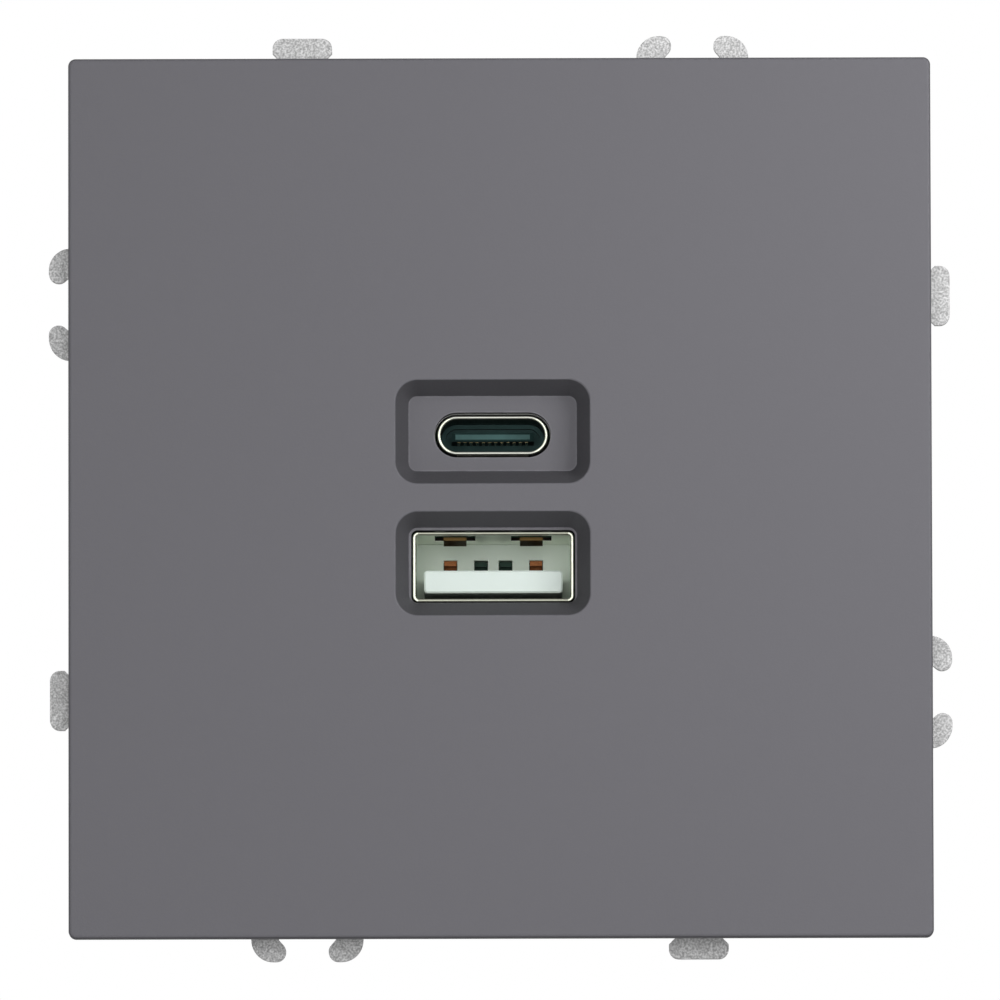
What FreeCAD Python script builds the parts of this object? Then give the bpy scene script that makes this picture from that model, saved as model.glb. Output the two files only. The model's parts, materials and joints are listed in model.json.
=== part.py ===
import FreeCAD, Part
import math
import os
import re

import Sketcher

# USB wall socket insert for a flush box: a cover with a USB-C and a USB-A port, a stamped
# steel support, and a charger module behind it.
# X is right and Z is up, seen from the room, and Y points into the wall. The origin is the
# centre of the support's rear face, which lies on the wall. All sizes are in millimetres.

Vector = FreeCAD.Vector

# Driving sizes: name, value, what it measures.
driving = [
    ("face_width", 70.0, "cover, side to side"),
    ("face_height", 71.5, "cover, top to bottom"),
    ("face_drop", 0.4, "cover centre below the support's centre"),
    ("face_corner", 0.6, "cover corner radius"),
    ("face_edge", 2.0, "thickness of the cover's rim"),
    ("face_round", 0.3, "rounding of the cover's front edge"),
    ("face_skin", 1.6, "thickness of the cover's front wall"),
    ("skirt_inset", 0.9, "skirt set in from the rim"),
    ("skirt_depth", 3.9, "skirt behind the rim"),
    ("skirt_wall", 1.5, "skirt thickness"),
    ("cover_gap", 0.3, "skirt to support"),
    ("pry_notch_width", 6.0, "screwdriver notch in the lower skirt"),
    ("pry_notch_depth", 1.2, "depth of that notch"),
    ("rib_height", 1.4, "stiffening ribs behind the cover's front wall"),
    ("rib_wall", 1.0, "their thickness"),
    ("rib_place", 17.0, "ribs from the cover's centre"),
    ("port_shift", 0.6, "ports left of the centre line"),
    ("port_pitch", 10.71, "between the two port wells"),
    ("port_fall", 0.03, "middle of the two wells below the cover's centre"),
    ("port_drop", 0.11, "port axis below its well's centre"),
    ("well_width", 15.8, "mouth of a port well"),
    ("well_height", 8.49, "mouth of a port well"),
    ("well_corner", 1.8, "corner radius of the mouth"),
    ("well_round", 0.15, "rounding of the mouth's edge"),
    ("well_floor_width", 13.64, "floor of a port well"),
    ("well_floor_height", 6.1, "floor of a port well"),
    ("well_floor_corner", 0.7, "corner radius of the floor"),
    ("well_depth", 2.2, "depth of a port well"),
    ("well_floor_thick", 1.2, "material behind a well's floor"),
    ("well_block_wall", 1.2, "material beside the wells"),
    ("usb_a_width", 13.1, "USB-A shell, outside"),
    ("usb_a_height", 5.72, "USB-A shell, outside"),
    ("usb_a_aside", 0.02, "USB-A port right of the wells' middle"),
    ("usb_a_wall", 0.26, "USB-A shell sheet"),
    ("usb_a_corner", 0.5, "USB-A shell corner radius"),
    ("shell_lip", 0.1, "rounding of a port shell's mouth"),
    ("usb_a_setback", 0.3, "USB-A shell behind its well's floor"),
    ("usb_a_reach", 10.2, "depth inside the USB-A shell to its rear wall"),
    ("usb_a_tongue_width", 11.25, "USB-A tongue"),
    ("usb_a_tongue_thick", 1.82, "USB-A tongue"),
    ("usb_a_tongue_drop", 1.16, "USB-A tongue's middle below the shell's axis"),
    ("usb_a_tongue_corner", 0.28, "USB-A tongue's long edges"),
    ("usb_a_tongue_setback", 0.8, "USB-A tongue behind the shell's mouth"),
    ("usb_a_pitch_inner", 2.0, "between the two inner contacts"),
    ("usb_a_pitch_outer", 7.0, "between the two outer contacts"),
    ("usb_a_contact_width", 1.0, "contact strip"),
    ("usb_a_contact_thick", 0.25, "contact strip"),
    ("usb_a_window", 1.13, "contact window in the rear wall"),
    ("usb_a_window_height", 1.53, "contact window above the tongue"),
    ("usb_a_shoulder", 0.2, "contact's folded shoulder behind the rear wall's face"),
    ("usb_a_shoulder_drop", 0.4, "that shoulder, up and down"),
    ("usb_a_deep_shoulder", 1.2, "the two inner contacts' shoulders behind the rear wall's face"),
    ("usb_a_riser", 2.4, "contact's upright part behind the rear wall's face"),
    ("fit_gap", 0.02, "moulded core in its shell"),
    ("spring_place", 3.1, "shell springs from the port's middle"),
    ("spring_window", 3.3, "window round a shell spring"),
    ("spring_width", 1.85, "shell spring"),
    ("spring_sag", 0.7, "shell spring's bow into the shell"),
    ("spring_length", 5.2, "window length of a shell spring"),
    ("spring_start", 1.3, "window behind the shell's mouth"),
    ("usb_c_width", 8.98, "USB-C shell, outside"),
    ("usb_c_height", 3.16, "USB-C shell, outside"),
    ("usb_c_wall", 0.25, "USB-C shell sheet"),
    ("usb_c_setback", 0.4, "USB-C shell behind its well's floor"),
    ("usb_c_reach", 6.2, "depth inside the USB-C shell to its base"),
    ("usb_c_tongue_width", 6.69, "USB-C tongue"),
    ("usb_c_tongue_thick", 0.7, "USB-C tongue"),
    ("usb_c_tongue_length", 4.45, "USB-C tongue in front of its base"),
    ("usb_c_tongue_corner", 0.32, "cut front corners of the USB-C tongue"),
    ("usb_c_tongue_lead", 0.15, "bevel of the USB-C tongue's front edges"),
    ("usb_c_ring", 0.35, "raised ring round the USB-C base"),
    ("usb_c_contact_pitch", 0.5, "USB-C contacts"),
    ("usb_c_contact_width", 0.25, "USB-C contacts"),
    ("usb_c_contact_thick", 0.02, "USB-C contacts proud of the tongue"),
    ("usb_c_contact_length", 3.4, "USB-C contacts in front of their base"),
    ("usb_c_contact_count", 12, "USB-C contacts on each face"),
    ("port_gap", 0.1, "round the USB-A shell in the cover"),
    ("port_slot_gap", 0.25, "round the USB-C shell in the cover"),
    ("sheet_thick", 1.0, "steel support"),
    ("sheet_width", 68.4, "steel support without its tabs"),
    ("sheet_height", 70.0, "steel support without its tabs"),
    ("sheet_corner", 2.0, "steel support corner radius"),
    ("tab_reach_side", 36.65, "T tab's end, left and right"),
    ("tab_reach_top", 37.6, "T tab's end, top and bottom"),
    ("tab_offset_side", 16.45, "T tab above or below the centre"),
    ("tab_offset_top", 16.05, "T tab beside the centre"),
    ("tab_width", 4.85, "T tab's head"),
    ("tab_round", 0.82, "T tab's end corners"),
    ("tab_head", 1.2, "T tab's head up to its shoulder"),
    ("tab_neck", 3.3, "T tab's neck width"),
    ("hook_reach_side", 36.73, "hook tips, left and right"),
    ("hook_reach_top", 37.75, "hook tips, top and bottom"),
    ("hook_offset_side", 15.9, "hook pair above or below the centre"),
    ("hook_offset_top", 15.75, "hook pair beside the centre"),
    ("hook_span", 9.12, "hook pair, outside"),
    ("hook_gap", 3.46, "between the hook tips"),
    ("hook_throat", 4.64, "between the hooks below their tips"),
    ("hook_round", 1.78, "outer rounding of a hook"),
    ("hook_tip", 0.8, "rounding of a hook's tip"),
    ("hook_lean", 1.1, "start of a hook's slope below its tip"),
    ("hook_pocket", 5.1, "pocket that takes the next socket's T tab"),
    ("hook_pocket_lip", 0.2, "pocket's upper end below the hooks' throat"),
    ("tab_root", 5.0, "tabs' and hooks' root below their ends"),
    ("hook_pocket_depth", 3.1, "bottom of that pocket below the hook tips"),
    ("slot_spacing", 60.0, "box screws"),
    ("slot_width", 4.0, "box screw slot"),
    ("slot_length", 7.0, "box screw slot, end to end"),
    ("fixing_hole", 3.4, "corner fixing holes"),
    ("fixing_spacing_x", 58.0, "corner fixing holes"),
    ("fixing_spacing_z", 60.0, "corner fixing holes"),
    ("window_gap", 0.4, "support's window round the housing"),
    ("rim_height", 0.8, "drawn rim round the support's window"),
    ("rim_wall", 0.8, "its thickness"),
    ("bead_length", 12.0, "stiffening beads in the support"),
    ("bead_width", 2.4, "stiffening beads in the support"),
    ("bead_height", 0.6, "stiffening beads in the support"),
    ("bead_place", 27.8, "beads from the centre lines"),
    ("bead_offset", 15.0, "beads' middles along the sides"),
    ("housing_width", 41.0, "module housing"),
    ("housing_height", 40.0, "module housing"),
    ("housing_corner", 4.0, "module housing"),
    ("housing_wall", 1.6, "module housing"),
    ("housing_gap", 0.4, "housing behind the cover's well block"),
    ("split_step", 0.6, "where the two housing halves meet, behind the port board's front"),
    ("split_bevel", 0.25, "bevel of the halves' meeting edges"),
    ("ear_width", 10.0, "screw ears of the housing"),
    ("ear_reach", 5.8, "screw ears past the housing"),
    ("ear_thick", 3.0, "screw ears"),
    ("ear_screw_out", 3.6, "support screws past the housing"),
    ("ear_screw_radius", 1.1, "support screw shank"),
    ("ear_head_radius", 2.2, "support screw head"),
    ("ear_head_height", 1.5, "support screw head"),
    ("ear_screw_length", 3.6, "support screw below its head"),
    ("post_width", 3.2, "cover posts, square"),
    ("post_inset_x", 4.0, "cover posts in from the housing's sides"),
    ("post_inset_z", 5.0, "cover posts in from the housing's ends"),
    ("post_end", 3.0, "cover posts, from the wall"),
    ("post_gap", 0.25, "round a post in the housing"),
    ("clip_sheet", 0.3, "clip strip"),
    ("clip_gap", 0.02, "clip leg to post"),
    ("clip_room", 1.2, "clip's closed end behind a post"),
    ("clip_width", 2.6, "clip strip's width"),
    ("clip_lead", 1.2, "flared mouth of a clip"),
    ("tower_cavity_height", 3.9, "clip towers in the housing, inside, up and down"),
    ("tower_floor", 0.8, "clip towers' rear wall"),
    ("pillar_width", 3.0, "board pillars in the housing"),
    ("pillar_place", 8.0, "board pillars above and below the centre"),
    ("wall_port_gap", 0.2, "round the port shells in the housing"),
    ("rear_round", 1.0, "rounding of the module's rear edge"),
    ("vent_width", 1.6, "vents in the rear wall"),
    ("vent_length", 9.0, "vents in the rear wall"),
    ("vent_pitch", 4.0, "vents in the rear wall"),
    ("vent_level", 9.0, "vents' middle above the centre"),
    ("tower_wall", 0.9, "clip towers in the housing"),
    ("tower_cavity", 4.7, "clip towers in the housing, inside"),
    ("port_board_place", 8.4, "front of the port board, from the wall"),
    ("board_thick", 1.6, "circuit boards"),
    ("board_gap_side", 0.3, "main board to the housing's sides"),
    ("board_gap_end", 0.4, "boards to the housing's ends"),
    ("board_corner", 2.0, "circuit boards"),
    ("board_room", 0.4, "tallest components to the port board"),
    ("snap_place", 13.0, "snap hooks above and below the centre"),
    ("snap_reach", 4.0, "snap hooks in front of the split"),
    ("snap_catch", 1.7, "snap hooks' catches in front of the split"),
    ("snap_nose", 0.9, "snap hooks' catches, proud"),
    ("snap_root", 4.0, "snap hooks behind the split"),
    ("snap_width", 4.4, "snap hooks"),
    ("snap_thick", 1.0, "snap hooks"),
    ("snap_gap", 0.15, "round the snap hooks"),
    ("terminal_place", 9.0, "terminals from the centre line"),
    ("terminal_set", 4.2, "terminal screws behind the main board"),
    ("wire_wall", 2.5, "wall that the wires enter through"),
    ("terminal_wall", 1.0, "terminal block walls"),
    ("bar_thick", 0.8, "contact bars"),
    ("bar_width", 4.0, "contact bars"),
    ("bar_rise", 10.4, "top of the contact bars above the housing's lower end"),
    ("clamp_width", 6.4, "clamp cage, side to side"),
    ("clamp_depth", 5.4, "clamp cage, front to rear"),
    ("clamp_wall", 1.0, "clamp cage"),
    ("clamp_nut", 1.6, "clamp cage's threaded wall"),
    ("clamp_open", 2.6, "clamp opening above the contact bar"),
    ("clamp_travel", 2.3, "how far a clamp closes"),
    ("shelf_wall", 0.6, "shelf between a clamp and its screw's head"),
    ("clamp_room", 2.4, "inside the clamp below the contact bar"),
    ("clamp_gap", 0.2, "round the clamp"),
    ("wire_hole_radius", 1.6, "wire entry"),
    ("screw_radius", 1.5, "M3 screws"),
    ("thread_gap", 0.05, "round a screw in its thread"),
    ("terminal_head_radius", 2.5, "terminal screw head"),
    ("terminal_head_height", 1.8, "terminal screw head"),
    ("screw_slot", 0.8, "screwdriver slots, width and depth"),
    ("claw_out", 3.9, "claw screws beside the housing"),
    ("claw_level", 6.5, "claw screws above or below the centre"),
    ("claw_nut_place", 22.0, "claw nuts at rest, from the wall"),
    ("claw_screw_length", 26.5, "claw screw below its head"),
    ("claw_head_radius", 2.5, "claw screw head"),
    ("claw_head_height", 1.9, "claw screw head"),
    ("claw_sheet", 1.0, "claw sheet"),
    ("claw_inside", 5.2, "between a claw's cheeks"),
    ("claw_web_gap", 2.3, "claw web from the screw's axis"),
    ("claw_front", 8.0, "claw's front end at rest, from the wall"),
    ("claw_rear", 1.6, "claw behind its hinge"),
    ("claw_tooth", 0.6, "claw teeth"),
    ("claw_lip", 1.0, "claw cheeks from the hinge towards the housing"),
    ("nut_width", 3.8, "claw nut, towards the web"),
    ("nut_length", 2.6, "claw nut, along the screw"),
    ("nut_gap", 0.1, "between nut and cheek"),
    ("trunnion_radius", 0.8, "claw hinge pins"),
    ("trunnion_gap", 0.05, "round a hinge pin"),
    ("ramp_wall", 0.8, "ramps that spread a claw"),
    ("ramp_out", 2.8, "outer end of the ramps past the claw screws"),
    ("ramp_end", 2.2, "outer end of the ramps, from the wall"),
    ("ramp_gap", 0.2, "claw to the foot of its ramp"),
    ("link_pitch", 2.54, "pins between the two boards"),
    ("link_pin", 0.64, "pins between the two boards, square"),
    ("link_inset", 1.6, "pins between the two boards, from their upper edge"),
    ("sheet_barrier", 0.2, "insulation sheet behind the port board"),
    ("barrier_width", 30.0, "insulation sheet"),
    ("core_width", 13.0, "transformer core"),
    ("core_height", 12.0, "transformer core"),
    ("core_thick", 5.6, "transformer core, front to rear"),
    ("core_leg", 2.6, "transformer core's outer legs and yokes"),
    ("core_x", 1.5, "transformer right of the centre line"),
    ("core_z", 6.6, "transformer above the centre"),
    ("core_stand", 4.8, "transformer's middle in front of the main board"),
    ("coil_radius", 3.2, "transformer winding"),
    ("flange_rim", 0.6, "bobbin flanges past the winding"),
    ("flange_thick", 0.6, "bobbin flanges"),
    ("can_radius", 4.0, "bulk capacitors"),
    ("can_length", 10.0, "bulk capacitors"),
    ("can_inset_x", 6.2, "bulk capacitors from the main board's side"),
    ("can_inset_z", 6.6, "upper bulk capacitor from the main board's end"),
    ("can_gap", 0.6, "between two cans"),
    ("output_can_radius", 3.15, "output capacitors"),
    ("output_can_length", 8.0, "output capacitors"),
    ("output_can_inset_x", 5.2, "output capacitors from the main board's side"),
    ("output_can_inset_z", 5.6, "upper output capacitor from the main board's end"),
    ("choke_radius", 3.2, "input choke"),
    ("choke_length", 6.4, "input choke"),
    ("choke_gap", 0.4, "input choke to the contact bar"),
    ("choke_z", 7.6, "input choke below the centre"),
    ("fuse_radius", 1.6, "fuse resistor"),
    ("fuse_length", 7.0, "fuse resistor"),
    ("fuse_x", 6.4, "fuse resistor left of the centre line"),
    ("fuse_inset", 3.8, "fuse resistor from the main board's end"),
    ("disc_radius", 3.6, "surge absorber disc"),
    ("disc_thick", 3.0, "surge absorber disc"),
    ("disc_x", 3.6, "surge absorber right of the centre line"),
    ("disc_inset", 5.4, "surge absorber from the main board's end"),
    ("lead_radius", 0.3, "component leads"),
    ("film_width", 7.0, "suppression capacitor"),
    ("film_height", 10.0, "suppression capacitor"),
    ("film_depth", 7.6, "suppression capacitor"),
    ("film_gap", 0.5, "suppression capacitor to the contact bar"),
    ("film_z", 8.0, "suppression capacitor below the centre"),
    ("bridge_width", 5.0, "bridge rectifier"),
    ("bridge_height", 6.0, "bridge rectifier"),
    ("bridge_depth", 2.4, "bridge rectifier"),
    ("bridge_x", 3.4, "bridge rectifier left of the centre line"),
    ("bridge_z", 6.4, "bridge rectifier below the centre"),
    ("chip_width", 4.9, "primary controller"),
    ("chip_height", 3.9, "primary controller"),
    ("chip_depth", 1.5, "primary controller"),
    ("chip_x", 4.0, "primary controller left of the centre line"),
    ("chip_z", 7.0, "primary controller above the centre"),
    ("diode_width", 7.0, "output rectifier"),
    ("diode_height", 5.9, "output rectifier"),
    ("diode_depth", 2.2, "output rectifier"),
    ("diode_x", 10.4, "output rectifier right of the centre line"),
    ("logic_size", 5.0, "port controller"),
    ("logic_depth", 0.9, "port controller"),
    ("logic_x", 8.6, "port controller right of the ports"),
    ("logic_z", 13.6, "port controller below the centre"),
]

# Places and sizes that follow from the driving ones.
places = {
    "sheet_front": "-sheet_thick",
    "skirt_back": "sheet_front - cover_gap",
    "face_back": "skirt_back - skirt_depth",
    "face_front": "face_back - face_edge",
    "skin_back": "face_front + face_skin",
    "face_level": "-face_drop",
    "well_floor": "face_front + well_depth",
    "well_back": "well_floor + well_floor_thick",
    "port_x": "-port_shift",
    "well_c_level": "face_level - port_fall + port_pitch / 2",
    "well_a_level": "face_level - port_fall - port_pitch / 2",
    "usb_c_level": "well_c_level - port_drop",
    "usb_a_level": "well_a_level - port_drop",
    "usb_a_front": "well_floor + usb_a_setback",
    "usb_c_front": "well_floor + usb_c_setback",
    "usb_a_back_wall": "usb_a_front + usb_a_reach",
    "usb_c_base": "usb_c_front + usb_c_reach",
    "usb_a_inside_width": "usb_a_width - 2 * usb_a_wall",
    "usb_a_inside_height": "usb_a_height - 2 * usb_a_wall",
    "usb_c_inside_width": "usb_c_width - 2 * usb_c_wall",
    "usb_c_inside_height": "usb_c_height - 2 * usb_c_wall",
    "tongue_top": "usb_a_level - usb_a_tongue_drop + usb_a_tongue_thick / 2",
    "wall_front": "well_back + housing_gap",
    "wall_back": "wall_front + housing_wall",
    "housing_inside_width": "housing_width - 2 * housing_wall",
    "housing_inside_height": "housing_height - 2 * housing_wall",
    "housing_inside_corner": "housing_corner - housing_wall",
    "board_width": "housing_inside_width - 2 * (snap_thick + 2 * snap_gap)",
    "board_height": "housing_inside_height - 2 * board_gap_end",
    "main_board_width": "housing_inside_width - 2 * board_gap_side",
    "port_board_back": "port_board_place + board_thick",
    "main_board_place": "port_board_back + can_length + board_room",
    "main_board_back": "main_board_place + board_thick",
    "housing_split": "port_board_place + split_step",
    "snap_start": "housing_split - snap_reach",
    "snap_end": "housing_split - snap_catch",
    "terminal_depth": "main_board_back + terminal_set",
    "chamber_end": "terminal_depth + clamp_depth / 2 + clamp_gap",
    "housing_depth": "chamber_end + wire_wall",
    "rear_inside": "housing_depth - housing_wall",
    "ear_screw_place": "housing_height / 2 + ear_screw_out",
    "post_x": "housing_width / 2 - post_inset_x",
    "post_z": "housing_height / 2 - post_inset_z",
    "clip_depth": "post_end + clip_room",
    "tower_width": "tower_cavity + 2 * tower_wall",
    "port_a_x": "port_x + usb_a_aside",
    "link_level": "board_height / 2 - link_inset",
    "core_depth": "main_board_place - core_stand",
    "flange_radius": "coil_radius + flange_rim",
    "can_x": "main_board_width / 2 - can_inset_x",
    "can_z": "board_height / 2 - can_inset_z",
    "can_pitch": "2 * can_radius + can_gap",
    "output_can_x": "main_board_width / 2 - output_can_inset_x",
    "output_can_z": "board_height / 2 - output_can_inset_z",
    "output_can_pitch": "2 * output_can_radius + can_gap",
    "choke_x": "terminal_place + bar_width / 4 + choke_gap + choke_radius",
    "film_x": "terminal_place + bar_width / 4 + film_gap + film_width / 2",
    "fuse_z": "board_height / 2 - fuse_inset",
    "disc_z": "board_height / 2 - disc_inset",
    "claw_place": "housing_width / 2 + claw_out",
    "ramp_reach": "claw_place + ramp_out",
    "bar_top": "bar_rise - housing_height / 2",
    "bar_bottom": "bar_top - bar_thick",
    "clamp_top": "bar_top + clamp_open + clamp_wall",
    "clamp_floor": "bar_bottom - clamp_room",
    "clamp_bottom": "clamp_floor - clamp_nut",
    "block_top": "clamp_top + terminal_wall",
    "block_half": "terminal_place + clamp_width / 2 + clamp_gap + terminal_wall",
    "shelf_top": "clamp_bottom - clamp_travel - clamp_gap",
    "shelf_bottom": "shelf_top - shelf_wall",
    "terminal_head": "shelf_bottom - thread_gap - terminal_head_height",
    "terminal_tip": "bar_bottom - thread_gap",
    "claw_half_height": "claw_inside / 2 + claw_sheet",
    "web_outside": "claw_place + claw_web_gap + claw_sheet",
}

names = {name for name, value, note in driving}
word = re.compile(r"[a-z][a-z0-9_]*")


def formula(text):
    """A formula in plain size names, rewritten with references to the sheet."""
    def spell(match):
        name = match.group()
        if name in places:
            return "(" + formula(places[name]) + ")"
        return "sizes." + name if name in names else name
    return word.sub(spell, str(text))


def number(text):
    return float(sheet.evalExpression(formula(text)))


def bind(thing, prop, text):
    thing.setExpression(prop, formula(text))


def make_sheet(document):
    table = document.addObject("Spreadsheet::Sheet", "sizes")
    for row, (name, value, note) in enumerate(driving, 1):
        table.set(f"A{row}", name)
        table.set(f"B{row}", str(value))
        table.set(f"C{row}", note)
        table.setAlias(f"B{row}", name)
    document.recompute()
    return table


doc = FreeCAD.newDocument("usb_wall_socket")
sheet = make_sheet(doc)


# Bodies, sketches and outlines

def new_body(name):
    body = doc.addObject("PartDesign::Body", name)
    body.Label = name
    body.AllowCompound = True
    return body


def origin_of(body, role):
    return next(item for item in body.Origin.OriginFeatures if item.Role == role)


def sketch_on(body, name, role, offset):
    sketch = body.newObject("Sketcher::SketchObject", name)
    sketch.AttachmentSupport = [(origin_of(body, role), "")]
    sketch.MapMode = "FlatFace"
    bind(sketch, "AttachmentOffset.Base.z", offset)
    return sketch


def front_sketch(body, name, depth):
    """A sketch in X and Z at a given depth Y."""
    return sketch_on(body, name, "XZ_Plane", f"-({depth})")


def plan_sketch(body, name, level):
    """A sketch in X and Y at a given height Z."""
    return sketch_on(body, name, "XY_Plane", level)


def side_sketch(body, name, place):
    """A sketch in Y and Z at a given X."""
    return sketch_on(body, name, "YZ_Plane", place)


def dimension(sketch, kind, line, end, text):
    index = sketch.addConstraint(Sketcher.Constraint(kind, -1, 1, line, end, number(text)))
    bind(sketch, f"Constraints[{index}]", text)


def join_ends(sketch, first, second):
    sketch.addConstraint(Sketcher.Constraint("Coincident", first, 2, second, 1))


def outline(sketch, corners):
    """A closed outline through corners given as formulas: x, z and, if it is round, a radius."""
    spots = [Vector(number(corner[0]), number(corner[1]), 0) for corner in corners]
    rounds = [number(corner[2]) if len(corner) > 2 else 0 for corner in corners]
    leave, arrive, centres = [], [], []
    for index, spot in enumerate(spots):
        back = (spots[index - 1] - spot).normalize()
        ahead = (spots[(index + 1) % len(spots)] - spot).normalize()
        half = back.getAngle(ahead) / 2
        leave.append(spot + ahead * (rounds[index] / math.tan(half)))
        arrive.append(spot + back * (rounds[index] / math.tan(half)))
        centres.append(spot + (back + ahead).normalize() * (rounds[index] / math.sin(half)))
    lines = [sketch.addGeometry(Part.LineSegment(start, end), False)
             for start, end in zip(leave, arrive[1:] + arrive[:1])]
    for index, corner in enumerate(corners):
        before, after = lines[index - 1], lines[index]
        if rounds[index]:
            left = (arrive[index] - centres[index]).cross(leave[index] - centres[index]).z > 0
            turn = round_corner(sketch, centres[index], arrive[index], leave[index], left)
            enter, exit_end = (1, 2) if left else (2, 1)
            sketch.addConstraint(Sketcher.Constraint("Tangent", before, 2, turn, enter))
            sketch.addConstraint(Sketcher.Constraint("Tangent", turn, exit_end, after, 1))
            point = sketch.addGeometry(Part.Point(spots[index]), True)
            sketch.addConstraint(Sketcher.Constraint("PointOnObject", point, 1, before))
            sketch.addConstraint(Sketcher.Constraint("PointOnObject", point, 1, after))
            constraint = sketch.addConstraint(Sketcher.Constraint("Radius", turn, rounds[index]))
            bind(sketch, f"Constraints[{constraint}]", corner[2])
        else:
            join_ends(sketch, before, after)
            point = after
        dimension(sketch, "DistanceX", point, 1, corner[0])
        dimension(sketch, "DistanceY", point, 1, corner[1])


def round_corner(sketch, centre, arrive, leave, left):
    """The arc of a round corner; arcs run anticlockwise, so a right turn starts at its far end."""
    start, end = (arrive, leave) if left else (leave, arrive)
    first = math.degrees(math.atan2(start.y - centre.y, start.x - centre.x))
    last = math.degrees(math.atan2(end.y - centre.y, end.x - centre.x))
    return sketch.addGeometry(arc_between(centre, centre.distanceToPoint(start), first, last), False)


def box_outline(sketch, x, z, width, height, corner=None):
    left, right = f"{x} - ({width}) / 2", f"{x} + ({width}) / 2"
    low, high = f"{z} - ({height}) / 2", f"{z} + ({height}) / 2"
    ends = (corner,) if corner else ()
    outline(sketch, [(left, low, *ends), (right, low, *ends), (right, high, *ends), (left, high, *ends)])


def arc_between(centre, radius, start, end):
    ring = Part.Circle(centre, Vector(0, 0, 1), radius)
    end = end if end > start else end + 360
    return Part.ArcOfCircle(ring, math.radians(start), math.radians(end))


def circle(sketch, x, z, radius):
    spot = Vector(number(x), number(z), 0)
    ring = sketch.addGeometry(Part.Circle(spot, Vector(0, 0, 1), number(radius)), False)
    dimension(sketch, "DistanceX", ring, 3, x)
    dimension(sketch, "DistanceY", ring, 3, z)
    index = sketch.addConstraint(Sketcher.Constraint("Radius", ring, number(radius)))
    bind(sketch, f"Constraints[{index}]", radius)


def stadium(sketch, x, z, length, width, upright=False):
    """A slot outline with half-round ends, along X or along Z."""
    radius = number(width) / 2
    reach = number(length) / 2 - radius
    mid = Vector(number(x), number(z), 0)
    way = Vector(0, 1, 0) if upright else Vector(1, 0, 0)
    aside = Vector(-way.y, way.x, 0)
    turn = 90 if upright else 0
    far, near = mid + way * reach, mid - way * reach
    shapes = [
        Part.LineSegment(near - aside * radius, far - aside * radius),
        arc_between(far, radius, turn - 90, turn + 90),
        Part.LineSegment(far + aside * radius, near + aside * radius),
        arc_between(near, radius, turn + 90, turn + 270),
    ]
    parts = sketch.addGeometry(shapes, False)
    for here, following in zip(parts, parts[1:] + parts[:1]):
        sketch.addConstraint(Sketcher.Constraint("Tangent", here, 2, following, 1))
    sketch.addConstraint(Sketcher.Constraint("Equal", parts[1], parts[3]))
    half = f"(({length}) - ({width})) / 2"
    far_x, far_z = (x, f"{z} + {half}") if upright else (f"{x} + {half}", z)
    near_x, near_z = (x, f"{z} - {half}") if upright else (f"{x} - {half}", z)
    for item, across, up in ((parts[1], far_x, far_z), (parts[3], near_x, near_z)):
        dimension(sketch, "DistanceX", item, 3, across)
        dimension(sketch, "DistanceY", item, 3, up)
    index = sketch.addConstraint(Sketcher.Constraint("Radius", parts[1], radius))
    bind(sketch, f"Constraints[{index}]", f"({width}) / 2")


# Features

def add(body, sketch, length, back=True, both=False):
    """Pads a sketch; one in X and Z grows into the wall, or out of it if back is False."""
    feature = body.newObject("PartDesign::Pad", sketch.Name + "_pad")
    feature.Profile = sketch
    bind(feature, "Length", length)
    feature.Reversed = back and not both
    feature.Midplane = both
    return feature


def cut(body, sketch, length, back=True, both=False):
    """Pockets a sketch, and stops if nothing was removed."""
    doc.recompute()
    before = body.Shape.Volume
    feature = body.newObject("PartDesign::Pocket", sketch.Name + "_pocket")
    feature.Profile = sketch
    bind(feature, "Length", length)
    feature.Reversed = not back and not both
    feature.Midplane = both
    doc.recompute()
    if before - feature.Shape.Volume < 1e-6:
        raise ValueError(f"{sketch.Name} removes nothing from {body.Name}")
    return feature


def half_turn_pair(body, features, name):
    """Repeats features half a turn round the Y axis."""
    pair = body.newObject("PartDesign::PolarPattern", name)
    pair.Originals = features
    pair.Axis = (origin_of(body, "Y_Axis"), [""])
    pair.Angle = 360
    pair.Occurrences = 2
    body.Tip = pair
    return pair


def row_of(body, features, name, axis, length, count):
    row = body.newObject("PartDesign::LinearPattern", name)
    row.Originals = features
    row.Direction = (origin_of(body, axis), [""])
    bind(row, "Length", length)
    row.Occurrences = count
    body.Tip = row
    return row


def spin(body, sketch, axis):
    feature = body.newObject("PartDesign::Revolution", sketch.Name + "_turned")
    feature.Profile = sketch
    feature.ReferenceAxis = (sketch, [axis])
    feature.Angle = 360
    return feature


def flat_edges(feature, depth):
    """Names of a feature's edges that lie wholly at one depth."""
    found = []
    for index, edge in enumerate(feature.Shape.Edges, 1):
        box = edge.BoundBox
        if abs(box.YMin - depth) < 1e-6 and abs(box.YMax - depth) < 1e-6:
            found.append(f"Edge{index}")
    return found


def soften(body, kind, name, feature, edges, size):
    """A fillet or chamfer on named edges."""
    edge_work = body.newObject(f"PartDesign::{kind}", name)
    edge_work.Base = (feature, edges)
    bind(edge_work, "Radius" if kind == "Fillet" else "Size", size)
    return edge_work


four_ways = [(across, up) for across in (1, -1) for up in (1, -1)]


# Front cover

def add_well(body, port, level):
    """A port well with sloping sides, lofted from its mouth to its floor."""
    mouth = front_sketch(body, f"well_{port}_mouth", "face_front")
    box_outline(mouth, "port_x", level, "well_width", "well_height", "well_corner")
    floor = front_sketch(body, f"well_{port}_floor", "well_floor")
    box_outline(floor, "port_x", level, "well_floor_width", "well_floor_height", "well_floor_corner")
    well = body.newObject("PartDesign::SubtractiveLoft", f"well_{port}")
    well.Profile = mouth
    well.Sections = [floor]
    well.Ruled = True
    return well


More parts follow.
